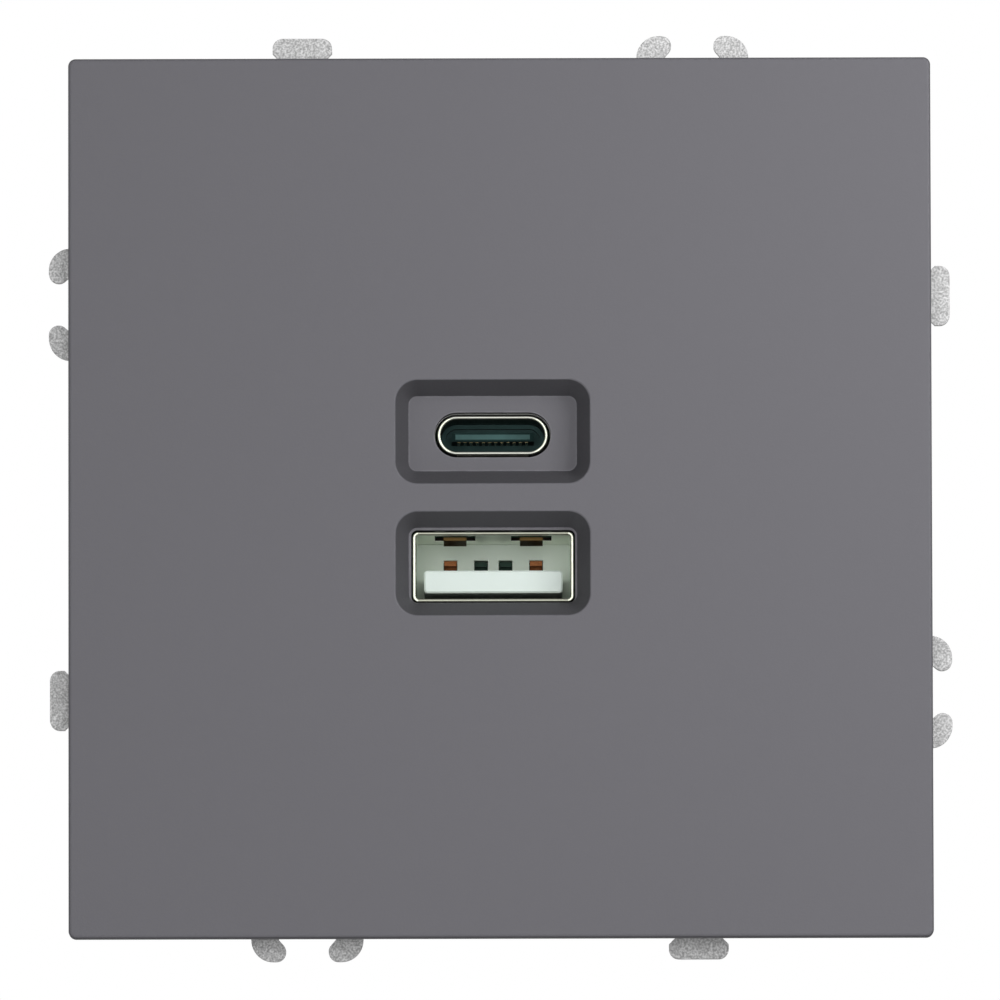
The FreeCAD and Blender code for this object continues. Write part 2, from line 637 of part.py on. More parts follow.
def mouth_edges(feature):
    """Names of the edges round the wells' mouths, in the cover's front face."""
    reach = number("well_width")
    return [name for name in flat_edges(feature, number("face_front"))
            if feature.Shape.getElement(name).BoundBox.XMax < reach
            and feature.Shape.getElement(name).BoundBox.XMin > -reach]


def add_cover_shell(body):
    rim = front_sketch(body, "rim", "face_back")
    box_outline(rim, "0", "face_level", "face_width", "face_height", "face_corner")
    plate = add(body, rim, "face_edge", back=False)
    doc.recompute()
    soften(body, "Fillet", "front_round", plate, flat_edges(plate, number("face_front")), "face_round")
    inset = "2 * skirt_inset"
    skirt = front_sketch(body, "skirt", "face_back")
    box_outline(skirt, "0", "face_level", f"face_width - {inset}", f"face_height - {inset}", "face_corner")
    add(body, skirt, "skirt_depth")
    inset = "2 * skirt_inset - 2 * skirt_wall"
    hollow = front_sketch(body, "hollow", "skirt_back")
    box_outline(hollow, "0", "face_level", f"face_width - {inset}", f"face_height - {inset}", "face_corner")
    cut(body, hollow, "skirt_back - skin_back", back=False)


def add_cover_inside(body):
    block = front_sketch(body, "well_block", "skin_back")
    height = "port_pitch + well_height + 2 * well_block_wall"
    box_outline(block, "port_x", "face_level - port_fall", "well_width + 2 * well_block_wall",
                height, "well_corner")
    add(body, block, "well_back - skin_back")
    ribs = front_sketch(body, "ribs", "skin_back")
    for side in (1, -1):
        box_outline(ribs, f"{side} * rib_place", "face_level", "rib_wall",
                    "face_height - 2 * skirt_inset - skirt_wall")
    add(body, ribs, "rib_height")
    posts = front_sketch(body, "posts", "skin_back")
    for across, up in four_ways:
        box_outline(posts, f"{across} * post_x", f"{up} * post_z", "post_width", "post_width")
    grown = add(body, posts, "post_end - skin_back")
    doc.recompute()
    soften(body, "Chamfer", "post_lead", grown, flat_edges(grown, number("post_end")), "post_width / 6")


def make_front_cover():
    body = new_body("front_cover")
    add_cover_shell(body)
    add_cover_inside(body)
    add_well(body, "c", "well_c_level")
    wells = add_well(body, "a", "well_a_level")
    doc.recompute()
    soften(body, "Fillet", "well_edges", wells, mouth_edges(wells), "well_round")
    slot = front_sketch(body, "port_c_slot", "well_floor")
    stadium(slot, "port_x", "usb_c_level", "usb_c_width + 2 * port_slot_gap",
            "usb_c_height + 2 * port_slot_gap")
    cut(body, slot, "well_floor_thick")
    mouth = front_sketch(body, "port_a_mouth", "well_floor")
    box_outline(mouth, "port_a_x", "usb_a_level", "usb_a_width + 2 * port_gap",
                "usb_a_height + 2 * port_gap", "usb_a_corner")
    cut(body, mouth, "well_floor_thick")
    notch = front_sketch(body, "pry_notch", "skirt_back")
    box_outline(notch, "0", "face_level - face_height / 2 + skirt_inset + skirt_wall / 2",
                "pry_notch_width", "2 * skirt_wall")
    cut(body, notch, "pry_notch_depth", back=False)
    return body


# Steel support

def on_side(side, along, outward):
    """Sketch coordinates of a point on the top or the right edge of the support."""
    return (along, outward) if side == "top" else (outward, f"-({along})")


def sketch_tab(sketch, side):
    """T tab: a head with two round corners, sloping shoulders and a neck into the sheet."""
    end, middle = f"tab_reach_{side}", f"-tab_offset_{side}"
    half, neck = "tab_width / 2", "tab_neck / 2"
    shoulder = f"{end} - tab_head"
    root = f"{shoulder} - (tab_width - tab_neck) / 2"
    foot = f"{end} - tab_root"
    corners = [
        (f"{middle} - {neck}", foot), (f"{middle} + {neck}", foot), (f"{middle} + {neck}", root),
        (f"{middle} + {half}", shoulder), (f"{middle} + {half}", end, "tab_round"),
        (f"{middle} - {half}", end, "tab_round"), (f"{middle} - {half}", shoulder),
        (f"{middle} - {neck}", root),
    ]
    outline(sketch, [(*on_side(side, along, outward), *ends) for along, outward, *ends in corners])


def sketch_hook(sketch, side, hand):
    """One hook of a pair: round outside, with a round tip that leans in over the pocket."""
    end, middle = f"hook_reach_{side}", f"hook_offset_{side}"
    corners = [
        ("hook_span / 2", f"{end} - tab_root"), ("hook_span / 2", end, "hook_round"),
        ("hook_gap / 2", end, "hook_tip"), ("hook_gap / 2", f"{end} - hook_lean", "hook_tip * 0.9"),
        ("hook_throat / 2", f"{end} - hook_round"), ("hook_throat / 2", f"{end} - tab_root"),
    ]
    outline(sketch, [(*on_side(side, f"{middle} + {hand} * {along}", outward), *ends)
                     for along, outward, *ends in corners])


def add_tabs(body, side):
    """The T tab and the pair of hooks on one side, and the pocket between the hooks."""
    features = []
    for name, draw in (
        ("tab", lambda sketch: sketch_tab(sketch, side)),
        ("hook_upper", lambda sketch: sketch_hook(sketch, side, 1)),
        ("hook_lower", lambda sketch: sketch_hook(sketch, side, -1)),
    ):
        sketch = front_sketch(body, f"{name}_{side}", "0")
        draw(sketch)
        features.append(add(body, sketch, "sheet_thick", back=False))
    pocket = front_sketch(body, f"hook_pocket_{side}", "0")
    end, middle = f"hook_reach_{side}", f"hook_offset_{side}"
    low, high = f"{end} - hook_pocket_depth", f"{end} - hook_round - hook_pocket_lip"
    corners = [(-1, low), (1, low), (1, high), (-1, high)]
    outline(pocket, [on_side(side, f"{middle} + {hand} * hook_pocket / 2", outward)
                     for hand, outward in corners])
    features.append(cut(body, pocket, "sheet_thick", back=False))
    return features


def add_window(body):
    """The window for the housing, with a drawn rim round it."""
    rim = front_sketch(body, "window_rim", "sheet_front")
    grown = "2 * window_gap + 2 * rim_wall"
    box_outline(rim, "0", "0", f"housing_width + {grown}", f"housing_height + {grown}",
                "housing_corner + window_gap + rim_wall")
    add(body, rim, "rim_height", back=False)
    window = front_sketch(body, "window", "0")
    box_outline(window, "0", "0", "housing_width + 2 * window_gap", "housing_height + 2 * window_gap",
                "housing_corner + window_gap")
    cut(body, window, "sheet_thick + rim_height", back=False)


def add_beads(body):
    """Stiffening beads pressed forward beside the window."""
    for name, depth, width, grow in (("bead", "sheet_front", "bead_width", True),
                                     ("bead_groove", "0", "bead_width / 2", False)):
        for lie in ("flat", "upright"):
            sketch = front_sketch(body, f"{name}_{lie}", depth)
            for across, up in four_ways:
                x = f"{across} * " + ("bead_offset" if lie == "flat" else "bead_place")
                z = f"{up} * " + ("bead_place" if lie == "flat" else "bead_offset")
                stadium(sketch, x, z, "bead_length", width, upright=lie == "upright")
            if grow:
                add(body, sketch, "bead_height", back=False)
            else:
                cut(body, sketch, "bead_height", back=False)


def add_support_holes(body):
    """Slots and holes that fix the support, then the holes for the module's own screws."""
    holes = front_sketch(body, "fixing_holes", "0")
    for across, up in four_ways:
        circle(holes, f"{across} * fixing_spacing_x / 2", f"{up} * fixing_spacing_z / 2", "fixing_hole / 2")
    for side in (1, -1):
        stadium(holes, f"{side} * slot_spacing / 2", "0", "slot_length", "slot_width")
        stadium(holes, "0", f"{side} * slot_spacing / 2", "slot_length", "slot_width", upright=True)
    cut(body, holes, "sheet_thick", back=False)
    screws = front_sketch(body, "screw_holes", "0")
    for side in (1, -1):
        circle(screws, "0", f"{side} * ear_screw_place", "ear_screw_radius + port_slot_gap")
        circle(screws, f"{side} * claw_place", f"-{side} * claw_level", "screw_radius + clamp_gap")
    cut(body, screws, "sheet_thick", back=False)


def make_support_frame():
    body = new_body("support_frame")
    plate = front_sketch(body, "sheet_outline", "0")
    box_outline(plate, "0", "0", "sheet_width", "sheet_height", "sheet_corner")
    add(body, plate, "sheet_thick", back=False)
    half_turn_pair(body, add_tabs(body, "top") + add_tabs(body, "side"), "tabs_and_hooks")
    add_window(body)
    add_beads(body)
    add_support_holes(body)
    return body


# Module housing

def add_clip_towers(body):
    towers = front_sketch(body, "clip_towers", "wall_back")
    for across, up in four_ways:
        box_outline(towers, f"{across} * post_x", f"{up} * post_z", "tower_width",
                    "tower_cavity_height + 2 * tower_wall")
    add(body, towers, "clip_depth + tower_floor - wall_back")
    cavities = front_sketch(body, "clip_cavities", "wall_back")
    for across, up in four_ways:
        box_outline(cavities, f"{across} * post_x", f"{up} * post_z", "tower_cavity", "tower_cavity_height")
    cut(body, cavities, "clip_depth - wall_back")
    holes = front_sketch(body, "post_holes", "wall_front")
    for across, up in four_ways:
        box_outline(holes, f"{across} * post_x", f"{up} * post_z", "post_width + 2 * post_gap",
                    "post_width + 2 * post_gap")
    cut(body, holes, "housing_wall")


def add_ears(body):
    """Ears above and below that the support screws bite into."""
    ears = front_sketch(body, "ears", "0")
    low = "housing_height / 2 - housing_wall / 2"
    high = "housing_height / 2 + ear_reach"
    for side in (1, -1):
        box_outline(ears, "0", f"{side} * (({low}) + ({high})) / 2", "ear_width", f"({high}) - ({low})")
    add(body, ears, "ear_thick")
    pilots = front_sketch(body, "ear_pilots", "0")
    for side in (1, -1):
        circle(pilots, "0", f"{side} * ear_screw_place", "ear_screw_radius + fit_gap")
    cut(body, pilots, "ear_thick")


def add_ramps(body):
    """Pairs of ribs that the claws' cheeks ride up on as their nuts come forward."""
    inside = "housing_width / 2 - housing_wall / 2"
    foot = "claw_front - ramp_gap"
    ribs = []
    for hand in (1, -1):
        level = f"{hand} * (claw_inside + claw_sheet) / 2 - claw_level"
        ramp = plan_sketch(body, f"ramp_{'upper' if hand > 0 else 'lower'}", level)
        outline(ramp, [(inside, "0"), ("ramp_reach", "0"), ("ramp_reach", "ramp_end"),
                       ("claw_place - claw_lip - ramp_gap / 2", foot), (inside, f"{foot} + claw_lip")])
        ribs.append(add(body, ramp, "ramp_wall", both=True))
    half_turn_pair(body, ribs, "ramps")


def make_housing_front():
    body = new_body("housing_front")
    tray = front_sketch(body, "tray", "wall_front")
    box_outline(tray, "0", "0", "housing_width", "housing_height", "housing_corner")
    solid = add(body, tray, "housing_split - wall_front")
    doc.recompute()
    soften(body, "Chamfer", "tray_bevel", solid, flat_edges(solid, number("housing_split")), "split_bevel")
    hollow = front_sketch(body, "tray_hollow", "wall_back")
    box_outline(hollow, "0", "0", "housing_inside_width", "housing_inside_height", "housing_inside_corner")
    cut(body, hollow, "housing_split - wall_back")
    add_clip_towers(body)
    ports = front_sketch(body, "port_holes", "wall_front")
    stadium(ports, "port_x", "usb_c_level", "usb_c_width + 2 * wall_port_gap",
            "usb_c_height + 2 * wall_port_gap")
    box_outline(ports, "port_a_x", "usb_a_level", "usb_a_width + 2 * wall_port_gap",
                "usb_a_height + 2 * wall_port_gap", "usb_a_corner")
    cut(body, ports, "housing_wall")
    pillars = front_sketch(body, "board_pillars", "wall_back")
    for across, up in four_ways:
        box_outline(pillars, f"{across} * (housing_inside_width - pillar_width + fit_gap) / 2",
                    f"{up} * pillar_place", "pillar_width + fit_gap", "pillar_width")
    add(body, pillars, "port_board_place - wall_back")
    add_ears(body)
    add_ramps(body)
    windows = side_sketch(body, "snap_windows", "0")
    for up in (1, -1):
        box_outline(windows, "(snap_start + snap_end) / 2 + snap_gap", f"{up} * snap_place",
                    "snap_end - snap_start", "snap_width + 2 * snap_gap")
    cut(body, windows, "2 * housing_width", both=True)
    return body


def add_snap_hooks(body):
    """Hooks of the rear half that catch in the front half's side windows."""
    wall = "housing_inside_width / 2"
    inner = f"{wall} - snap_gap - snap_thick"
    outer = f"{wall} - snap_gap"
    root = "housing_split + snap_root"
    hooks = []
    for up in (1, -1):
        sketch = plan_sketch(body, f"snap_{'upper' if up > 0 else 'lower'}", f"{up} * snap_place")
        outline(sketch, [
            (f"{wall} + snap_thick / 2", "housing_split"), (f"{wall} + snap_thick / 2", root),
            (inner, root), (inner, "snap_start"), (outer, "snap_start"),
            (f"{outer} + snap_nose", "snap_end"), (outer, "snap_end"), (outer, "housing_split"),
        ])
        hooks.append(add(body, sketch, "snap_width", both=True))
    half_turn_pair(body, hooks, "snap_hooks")


def add_terminal_block(body):
    """The block behind the main board, with a chamber, a shelf and a screw hole for each pole."""
    low = "housing_wall / 2 - housing_height / 2"
    block = front_sketch(body, "terminal_block", "rear_inside")
    box_outline(block, "0", f"(({low}) + block_top) / 2", "2 * block_half", f"block_top - ({low})")
    add(body, block, "rear_inside - main_board_back", back=False)
    chambers = front_sketch(body, "clamp_chambers", "main_board_back")
    top = "clamp_top + clamp_gap"
    for side in (1, -1):
        box_outline(chambers, f"{side} * terminal_place", f"({top} + shelf_top) / 2",
                    "clamp_width + 2 * clamp_gap", f"{top} - shelf_top")
    cut(body, chambers, "chamber_end - main_board_back")
    heads = plan_sketch(body, "screw_heads", "-housing_height / 2")
    shanks = plan_sketch(body, "screw_shanks", "shelf_bottom")
    wires = front_sketch(body, "wire_entries", "housing_depth")
    for side in (1, -1):
        circle(heads, f"{side} * terminal_place", "terminal_depth", "terminal_head_radius + clamp_gap")
        circle(shanks, f"{side} * terminal_place", "terminal_depth", "screw_radius + clamp_gap")
        circle(wires, f"{side} * terminal_place", "bar_top + wire_hole_radius", "wire_hole_radius")
    cut(body, heads, "shelf_bottom + housing_height / 2", back=False)
    cut(body, shanks, "shelf_wall", back=False)
    cut(body, wires, "wire_wall", back=False)


def make_housing_rear():
    body = new_body("housing_rear")
    cup = front_sketch(body, "cup", "housing_split")
    box_outline(cup, "0", "0", "housing_width", "housing_height", "housing_corner")
    solid = add(body, cup, "housing_depth - housing_split")
    doc.recompute()
    rounded = soften(body, "Fillet", "rear_edge", solid, flat_edges(solid, number("housing_depth")),
                     "rear_round")
    doc.recompute()
    soften(body, "Chamfer", "cup_bevel", rounded, flat_edges(rounded, number("housing_split")), "split_bevel")
    hollow = front_sketch(body, "cup_hollow", "housing_split")
    box_outline(hollow, "0", "0", "housing_inside_width", "housing_inside_height", "housing_inside_corner")
    cut(body, hollow, "rear_inside - housing_split")
    add_terminal_block(body)
    pillars = front_sketch(body, "rear_pillars", "rear_inside")
    for side in (1, -1):
        box_outline(pillars, f"{side} * post_x", "post_z", "pillar_width", "pillar_width")
    add(body, pillars, "rear_inside - main_board_back", back=False)
    add_snap_hooks(body)
    vent = front_sketch(body, "vent", "housing_depth")
    vent_count = 8
    stadium(vent, f"-vent_pitch * {vent_count - 1} / 2", "vent_level", "vent_length", "vent_width",
            upright=True)
    slot = cut(body, vent, "housing_wall", back=False)
    row_of(body, [slot], "vents", "X_Axis", f"vent_pitch * {vent_count - 1}", vent_count)
    return body


def make_cover_clips():
    """Four strips bent to a U, whose legs lie against a post of the cover."""
    body = new_body("cover_clips")
    leg = "(post_width / 2 + clip_gap)"
    mouth, knee = "(wall_back + clip_gap)", "(wall_back + clip_lead)"
    flare = "(tower_cavity / 2 - clip_gap)"
    end = "(clip_depth - clip_gap)"
    for index, (across, up) in enumerate(four_ways, 1):
        sketch = plan_sketch(body, f"clip_{index}", f"{up} * post_z")
        half = [
            (f"{flare}", mouth), (f"{leg} + clip_sheet", knee),
            (f"{leg} + clip_sheet", end, "2 * clip_sheet"),
        ]
        inner = [
            (f"{leg}", f"{end} - clip_sheet", "clip_sheet"), (f"{leg}", knee),
            (f"{flare} - clip_sheet", mouth),
        ]
        run = [(f"{across} * post_x + {x}", *rest) for x, *rest in half]
        run += [(f"{across} * post_x - ({x})", *rest) for x, *rest in reversed(half)]
        run += [(f"{across} * post_x - ({x})", *rest) for x, *rest in reversed(inner)]
        run += [(f"{across} * post_x + {x}", *rest) for x, *rest in inner]
        outline(sketch, run)
        add(body, sketch, "clip_width", both=True)
    return body


# Screws

def shape_screw(body, sketch, start, head_height, head_radius, radius, length):
    """A pan head and shank turned about the sketch's upright axis, head first."""
    seat = f"({start} + {head_height})"
    tip = f"({seat} + {length})"
    outline(sketch, [
        ("0", start), (head_radius, start, f"{head_height} / 2"), (head_radius, seat), (radius, seat),
        (radius, f"{tip} - {radius} / 3"), (f"{radius} * 2 / 3", tip), ("0", tip),
    ])
    return spin(body, sketch, "V_Axis")


def wall_screw_sketch(body, name, x, z):
    """A sketch whose upright axis runs into the wall at X and Z."""
    sketch = plan_sketch(body, name, z)
    bind(sketch, "AttachmentOffset.Base.x", x)
    return sketch


def make_support_screws():
    body = new_body("support_screws")
    start = "(sheet_front - ear_head_height)"
    sketch = wall_screw_sketch(body, "support_screw", "0", "ear_screw_place")
    turned = shape_screw(body, sketch, start, "ear_head_height", "ear_head_radius", "ear_screw_radius",
                         "ear_screw_length")
    slots = []
    for name, width, height in (("across", "2 * ear_screw_radius", "screw_slot / 2"),
                                ("upright", "screw_slot / 2", "2 * ear_screw_radius")):
        cross = front_sketch(body, f"cross_{name}", start)
        box_outline(cross, "0", "ear_screw_place", width, height)
        slots.append(cut(body, cross, "screw_slot"))
    half_turn_pair(body, [turned] + slots, "support_screw_pair")
    return body


def make_claw_screw(name, side):
    body = new_body(name)
    start = "(sheet_front - claw_head_height)"
    x, z = f"{side} * claw_place", f"-{side} * claw_level"
    sketch = wall_screw_sketch(body, f"{name}_profile", x, z)
    shape_screw(body, sketch, start, "claw_head_height", "claw_head_radius", "screw_radius",
                "claw_screw_length")
    slot = front_sketch(body, f"{name}_slot", start)
    box_outline(slot, x, z, "3 * claw_head_radius", "screw_slot")
    cut(body, slot, "screw_slot")
    return body


def make_terminal_screw(name, side):
    body = new_body(name)
    sketch = front_sketch(body, f"{name}_profile", "terminal_depth")
    bind(sketch, "AttachmentOffset.Base.x", f"{side} * terminal_place")
    shape_screw(body, sketch, "terminal_head", "terminal_head_height", "terminal_head_radius",
                "screw_radius", "(terminal_tip - terminal_head - terminal_head_height)")
    slot = plan_sketch(body, f"{name}_slot", "terminal_head")
    box_outline(slot, f"{side} * terminal_place", "terminal_depth", "3 * terminal_head_radius", "screw_slot")
    cut(body, slot, "screw_slot", back=False)
    return body


# Terminals

def make_contact_bar(name, side):
    """A flat bar under the wire, with a tail through the main board."""
    body = new_body(name)
    level = "bar_top - bar_thick / 2"
    bar = front_sketch(body, f"{name}_bar", "main_board_back")
    box_outline(bar, f"{side} * terminal_place", level, "bar_width", "bar_thick")
    add(body, bar, "terminal_depth + clamp_depth / 2 - main_board_back")
    tail = front_sketch(body, f"{name}_tail", "main_board_back")
    box_outline(tail, f"{side} * terminal_place", level, "bar_width / 2", "bar_thick")
    add(body, tail, "board_thick + bar_thick", back=False)
    return body


def make_clamp(name, side):
    """A cage round the contact bar; its threaded floor rides on the terminal screw."""
    body = new_body(name)
    x = f"{side} * terminal_place"
    front = "terminal_depth - clamp_depth / 2"
    cage = front_sketch(body, f"{name}_cage", front)
    box_outline(cage, x, "(clamp_top + clamp_bottom) / 2", "clamp_width", "clamp_top - clamp_bottom",
                "clamp_wall / 2")
    add(body, cage, "clamp_depth")
    throat = front_sketch(body, f"{name}_throat", front)
    ceiling = "(clamp_top - clamp_wall)"
    box_outline(throat, x, f"({ceiling} + clamp_floor) / 2", "clamp_width - 2 * clamp_wall",
                f"{ceiling} - clamp_floor")
    cut(body, throat, "clamp_depth")
    thread = plan_sketch(body, f"{name}_thread", "clamp_bottom")
    circle(thread, x, "terminal_depth", "screw_radius + thread_gap")
    cut(body, thread, "clamp_nut", back=False)
    return body


# Spreading claws

def make_claw(name, side):
    """A channel bent round its screw, hinged on the nut, with teeth at its front end."""
    body = new_body(name)
    level = f"-{side} * claw_level"
    inner, outer = "(claw_place - claw_lip)", "web_outside"
    rear = "(claw_nut_place + claw_rear)"
    channel = plan_sketch(body, f"{name}_channel", level)
    outline(channel, [(f"{side} * {x}", *rest) for x, *rest in (
        (inner, "claw_front"), (outer, "claw_front"), (outer, rear, "claw_rear"), (inner, rear, "claw_lip"),
    )])
    add(body, channel, "2 * claw_half_height", both=True)
    groove = plan_sketch(body, f"{name}_groove", level)
    web = "(claw_place + claw_web_gap)"
    middle = f"{side} * ({inner} + {web}) / 2 - {side} * claw_lip / 2"
    box_outline(groove, middle, f"(claw_front + {rear}) / 2",
                f"{web} - {inner} + claw_lip", f"{rear} - claw_front + claw_lip")
    cut(body, groove, "claw_inside", both=True)
    teeth = front_sketch(body, f"{name}_teeth", "claw_front")
    step = "claw_half_height * 2 / 3"
    edge = f"({outer} - claw_tooth / 4)"
    foot = [(f"{side} * {edge}", f"{level} - claw_half_height")]
    for index in range(3):
        low = f"{level} - claw_half_height + {index} * {step}"
        foot.append((f"{side} * ({outer} + claw_tooth)", f"{low} + {step} / 2"))
        foot.append((f"{side} * {outer}" if index < 2 else f"{side} * {edge}", f"{low} + {step}"))
    outline(teeth, foot)
    add(body, teeth, "2 * claw_tooth")
    hinge = plan_sketch(body, f"{name}_hinge", level)
    circle(hinge, f"{side} * claw_place", "claw_nut_place", "trunnion_radius + trunnion_gap")
    cut(body, hinge, "2 * claw_half_height", both=True)
    return body


def make_claw_nut(name, side):
    """A threaded block with a hinge pin on each side."""
    body = new_body(name)
    x, level = f"{side} * claw_place", f"-{side} * claw_level"
    block = plan_sketch(body, f"{name}_block", level)
    box_outline(block, x, "claw_nut_place", "nut_width", "nut_length")
    add(body, block, "claw_inside - 2 * nut_gap", both=True)
    pins = plan_sketch(body, f"{name}_pins", level)
    circle(pins, x, "claw_nut_place", "trunnion_radius")
    add(body, pins, "2 * claw_half_height", both=True)
    thread = front_sketch(body, f"{name}_thread", "claw_nut_place")
    circle(thread, x, level, "screw_radius + thread_gap")
    cut(body, thread, "2 * nut_length", both=True)
    return body


# Ports

def make_usb_a_shell():
    """A folded tube with two springs in its upper wall that grip the plug."""
    body = new_body("usb_a_shell")
    tube = front_sketch(body, "a_tube", "usb_a_front")
    box_outline(tube, "port_a_x", "usb_a_level", "usb_a_width", "usb_a_height", "usb_a_corner")
    add(body, tube, "port_board_place - usb_a_front")
    bore = front_sketch(body, "a_bore", "usb_a_front")
    box_outline(bore, "port_a_x", "usb_a_level", "usb_a_inside_width", "usb_a_inside_height",
                "usb_a_corner - usb_a_wall")
    hollow = cut(body, bore, "port_board_place - usb_a_front")
    soften(body, "Fillet", "a_mouth_round", hollow, flat_edges(hollow, number("usb_a_front")), "shell_lip")
    ceiling = "(usb_a_level + usb_a_height / 2)"
    start = "(usb_a_front + spring_start)"
    windows = plan_sketch(body, "a_windows", ceiling)
    for side in (1, -1):
        box_outline(windows, f"port_a_x + {side} * spring_place", f"{start} + spring_length / 2",
                    "spring_window", "spring_length")
    cut(body, windows, "usb_a_wall")
    path = [
        (f"{start} + spring_length + usb_a_wall", ceiling),
        (f"{start} + spring_length / 3", f"{ceiling} - spring_sag"),
        (f"{start} + usb_a_wall", f"{ceiling} - spring_sag / 2"),
    ]
    for side in (1, -1):
        spring = side_sketch(body, f"a_spring_{'right' if side > 0 else 'left'}",
                             f"port_a_x + {side} * spring_place")
        outline(spring, path + [(y, f"{z} - usb_a_wall") for y, z in reversed(path)])
        add(body, spring, "spring_width", both=True)
    return body


def make_usb_a_insulator():
    """The white core: a rear wall with four contact windows, and the tongue."""
    body = new_body("usb_a_insulator")
    wall = front_sketch(body, "a_wall", "usb_a_back_wall")
    box_outline(wall, "port_a_x", "usb_a_level", "usb_a_inside_width - 2 * fit_gap",
                "usb_a_inside_height - 2 * fit_gap", "usb_a_corner - usb_a_wall")
    add(body, wall, "port_board_place - usb_a_back_wall")
    tongue = front_sketch(body, "a_tongue", "usb_a_back_wall")
    box_outline(tongue, "port_a_x", "usb_a_level - usb_a_tongue_drop", "usb_a_tongue_width",
                "usb_a_tongue_thick", "usb_a_tongue_corner")
    grown = add(body, tongue, "usb_a_reach - usb_a_tongue_setback", back=False)
    doc.recompute()
    soften(body, "Chamfer", "a_tongue_lead", grown,
           flat_edges(grown, number("usb_a_front + usb_a_tongue_setback")), "usb_a_wall / 2")
    windows = front_sketch(body, "a_contact_windows", "usb_a_back_wall")
    for side in (1, -1):
        for pitch in ("usb_a_pitch_inner", "usb_a_pitch_outer"):
            box_outline(windows, f"port_a_x + {side} * {pitch} / 2", "tongue_top + usb_a_window_height / 2",
                        "usb_a_window", "usb_a_window_height")
    cut(body, windows, "port_board_place - usb_a_back_wall")
    return body


def make_usb_a_contacts():
    """Four strips that lie on the tongue, rise in the windows and fold forward at the top."""
    body = new_body("usb_a_contacts")
    front = "(usb_a_front + usb_a_tongue_setback)"
    under, over = "tongue_top", "(tongue_top + usb_a_contact_thick)"
    top = "(tongue_top + usb_a_window_height - 2 * fit_gap)"
    riser = "(usb_a_back_wall + usb_a_riser)"
    sheet_gauge = "usb_a_contact_thick"
    kinds = (
        ("data", "usb_a_pitch_inner", "usb_a_deep_shoulder"),
        ("power", "usb_a_pitch_outer", "usb_a_shoulder"),
    )
    for side in (1, -1):
        for name, pitch, setback in kinds:
            shoulder = f"(usb_a_back_wall + {setback})"
            strip = side_sketch(body, f"a_{name}_{'right' if side > 0 else 'left'}",
                                f"port_a_x + {side} * {pitch} / 2")
            outline(strip, [
                (f"{front} + 2 * usb_a_contact_width", under), (f"{riser} + {sheet_gauge}", under),
                (f"{riser} + {sheet_gauge}", top), (shoulder, top),
                (shoulder, f"{top} - usb_a_shoulder_drop"),
                (f"{shoulder} + {sheet_gauge}", f"{top} - usb_a_shoulder_drop"),
                (f"{shoulder} + {sheet_gauge}", f"{top} - {sheet_gauge}"),
                (riser, f"{top} - {sheet_gauge}"), (riser, over),
                (f"{front} + 4 * usb_a_contact_width", over),
            ])
            add(body, strip, "usb_a_contact_width", both=True)
    return body


def make_usb_c_shell():
    body = new_body("usb_c_shell")
    tube = front_sketch(body, "c_tube", "usb_c_front")
    stadium(tube, "port_x", "usb_c_level", "usb_c_width", "usb_c_height")
    add(body, tube, "port_board_place - usb_c_front")
    bore = front_sketch(body, "c_bore", "usb_c_front")
    stadium(bore, "port_x", "usb_c_level", "usb_c_inside_width", "usb_c_inside_height")
    hollow = cut(body, bore, "port_board_place - usb_c_front")
    soften(body, "Fillet", "c_mouth_round", hollow, flat_edges(hollow, number("usb_c_front")), "shell_lip")
    return body


def make_usb_c_insulator():
    """The core with a raised ring round its base, and the thin tongue."""
    body = new_body("usb_c_insulator")
    width, height = "(usb_c_inside_width - 2 * fit_gap)", "(usb_c_inside_height - 2 * fit_gap)"
    base = front_sketch(body, "c_base", "usb_c_base - 2 * usb_c_ring")
    stadium(base, "port_x", "usb_c_level", width, height)
    add(body, base, "port_board_place - usb_c_base + 2 * usb_c_ring")
    dish = front_sketch(body, "c_dish", "usb_c_base - 2 * usb_c_ring")
    stadium(dish, "port_x", "usb_c_level", f"{width} - 2 * usb_c_ring", f"{height} - 2 * usb_c_ring")
    cut(body, dish, "2 * usb_c_ring")
    tongue = plan_sketch(body, "c_tongue", "usb_c_level")
    side, front = "usb_c_tongue_width / 2", "(usb_c_base - usb_c_tongue_length)"
    outline(tongue, [
        (f"port_x - {side}", "usb_c_base"), (f"port_x - {side}", f"{front} + usb_c_tongue_corner"),
        (f"port_x - {side} + usb_c_tongue_corner", front), (f"port_x + {side} - usb_c_tongue_corner", front),
        (f"port_x + {side}", f"{front} + usb_c_tongue_corner"), (f"port_x + {side}", "usb_c_base"),
    ])
    grown = add(body, tongue, "usb_c_tongue_thick", both=True)
    doc.recompute()
    long_edges = [name for name in flat_edges(grown, number(front))
                  if grown.Shape.getElement(name).Length > number("usb_c_tongue_width") / 2]
    soften(body, "Chamfer", "c_tongue_bevel", grown, long_edges, "usb_c_tongue_lead")
    return body


def make_usb_c_contacts():
    """Rows of flat contacts on both faces of the tongue."""
    body = new_body("usb_c_contacts")
    first = "port_x - usb_c_contact_pitch * (usb_c_contact_count - 1) / 2"
    for face in (1, -1):
        strip = front_sketch(body, f"c_contact_{'upper' if face > 0 else 'lower'}", "usb_c_base")
        level = f"usb_c_level + {face} * (usb_c_tongue_thick + usb_c_contact_thick) / 2"
        box_outline(strip, first, level, "usb_c_contact_width", "usb_c_contact_thick")
        one = add(body, strip, "usb_c_contact_length", back=False)
        row_of(body, [one], f"c_contacts_{'upper' if face > 0 else 'lower'}", "X_Axis",
               "usb_c_contact_pitch * (usb_c_contact_count - 1)", int(number("usb_c_contact_count")))
    return body


# Boards and components

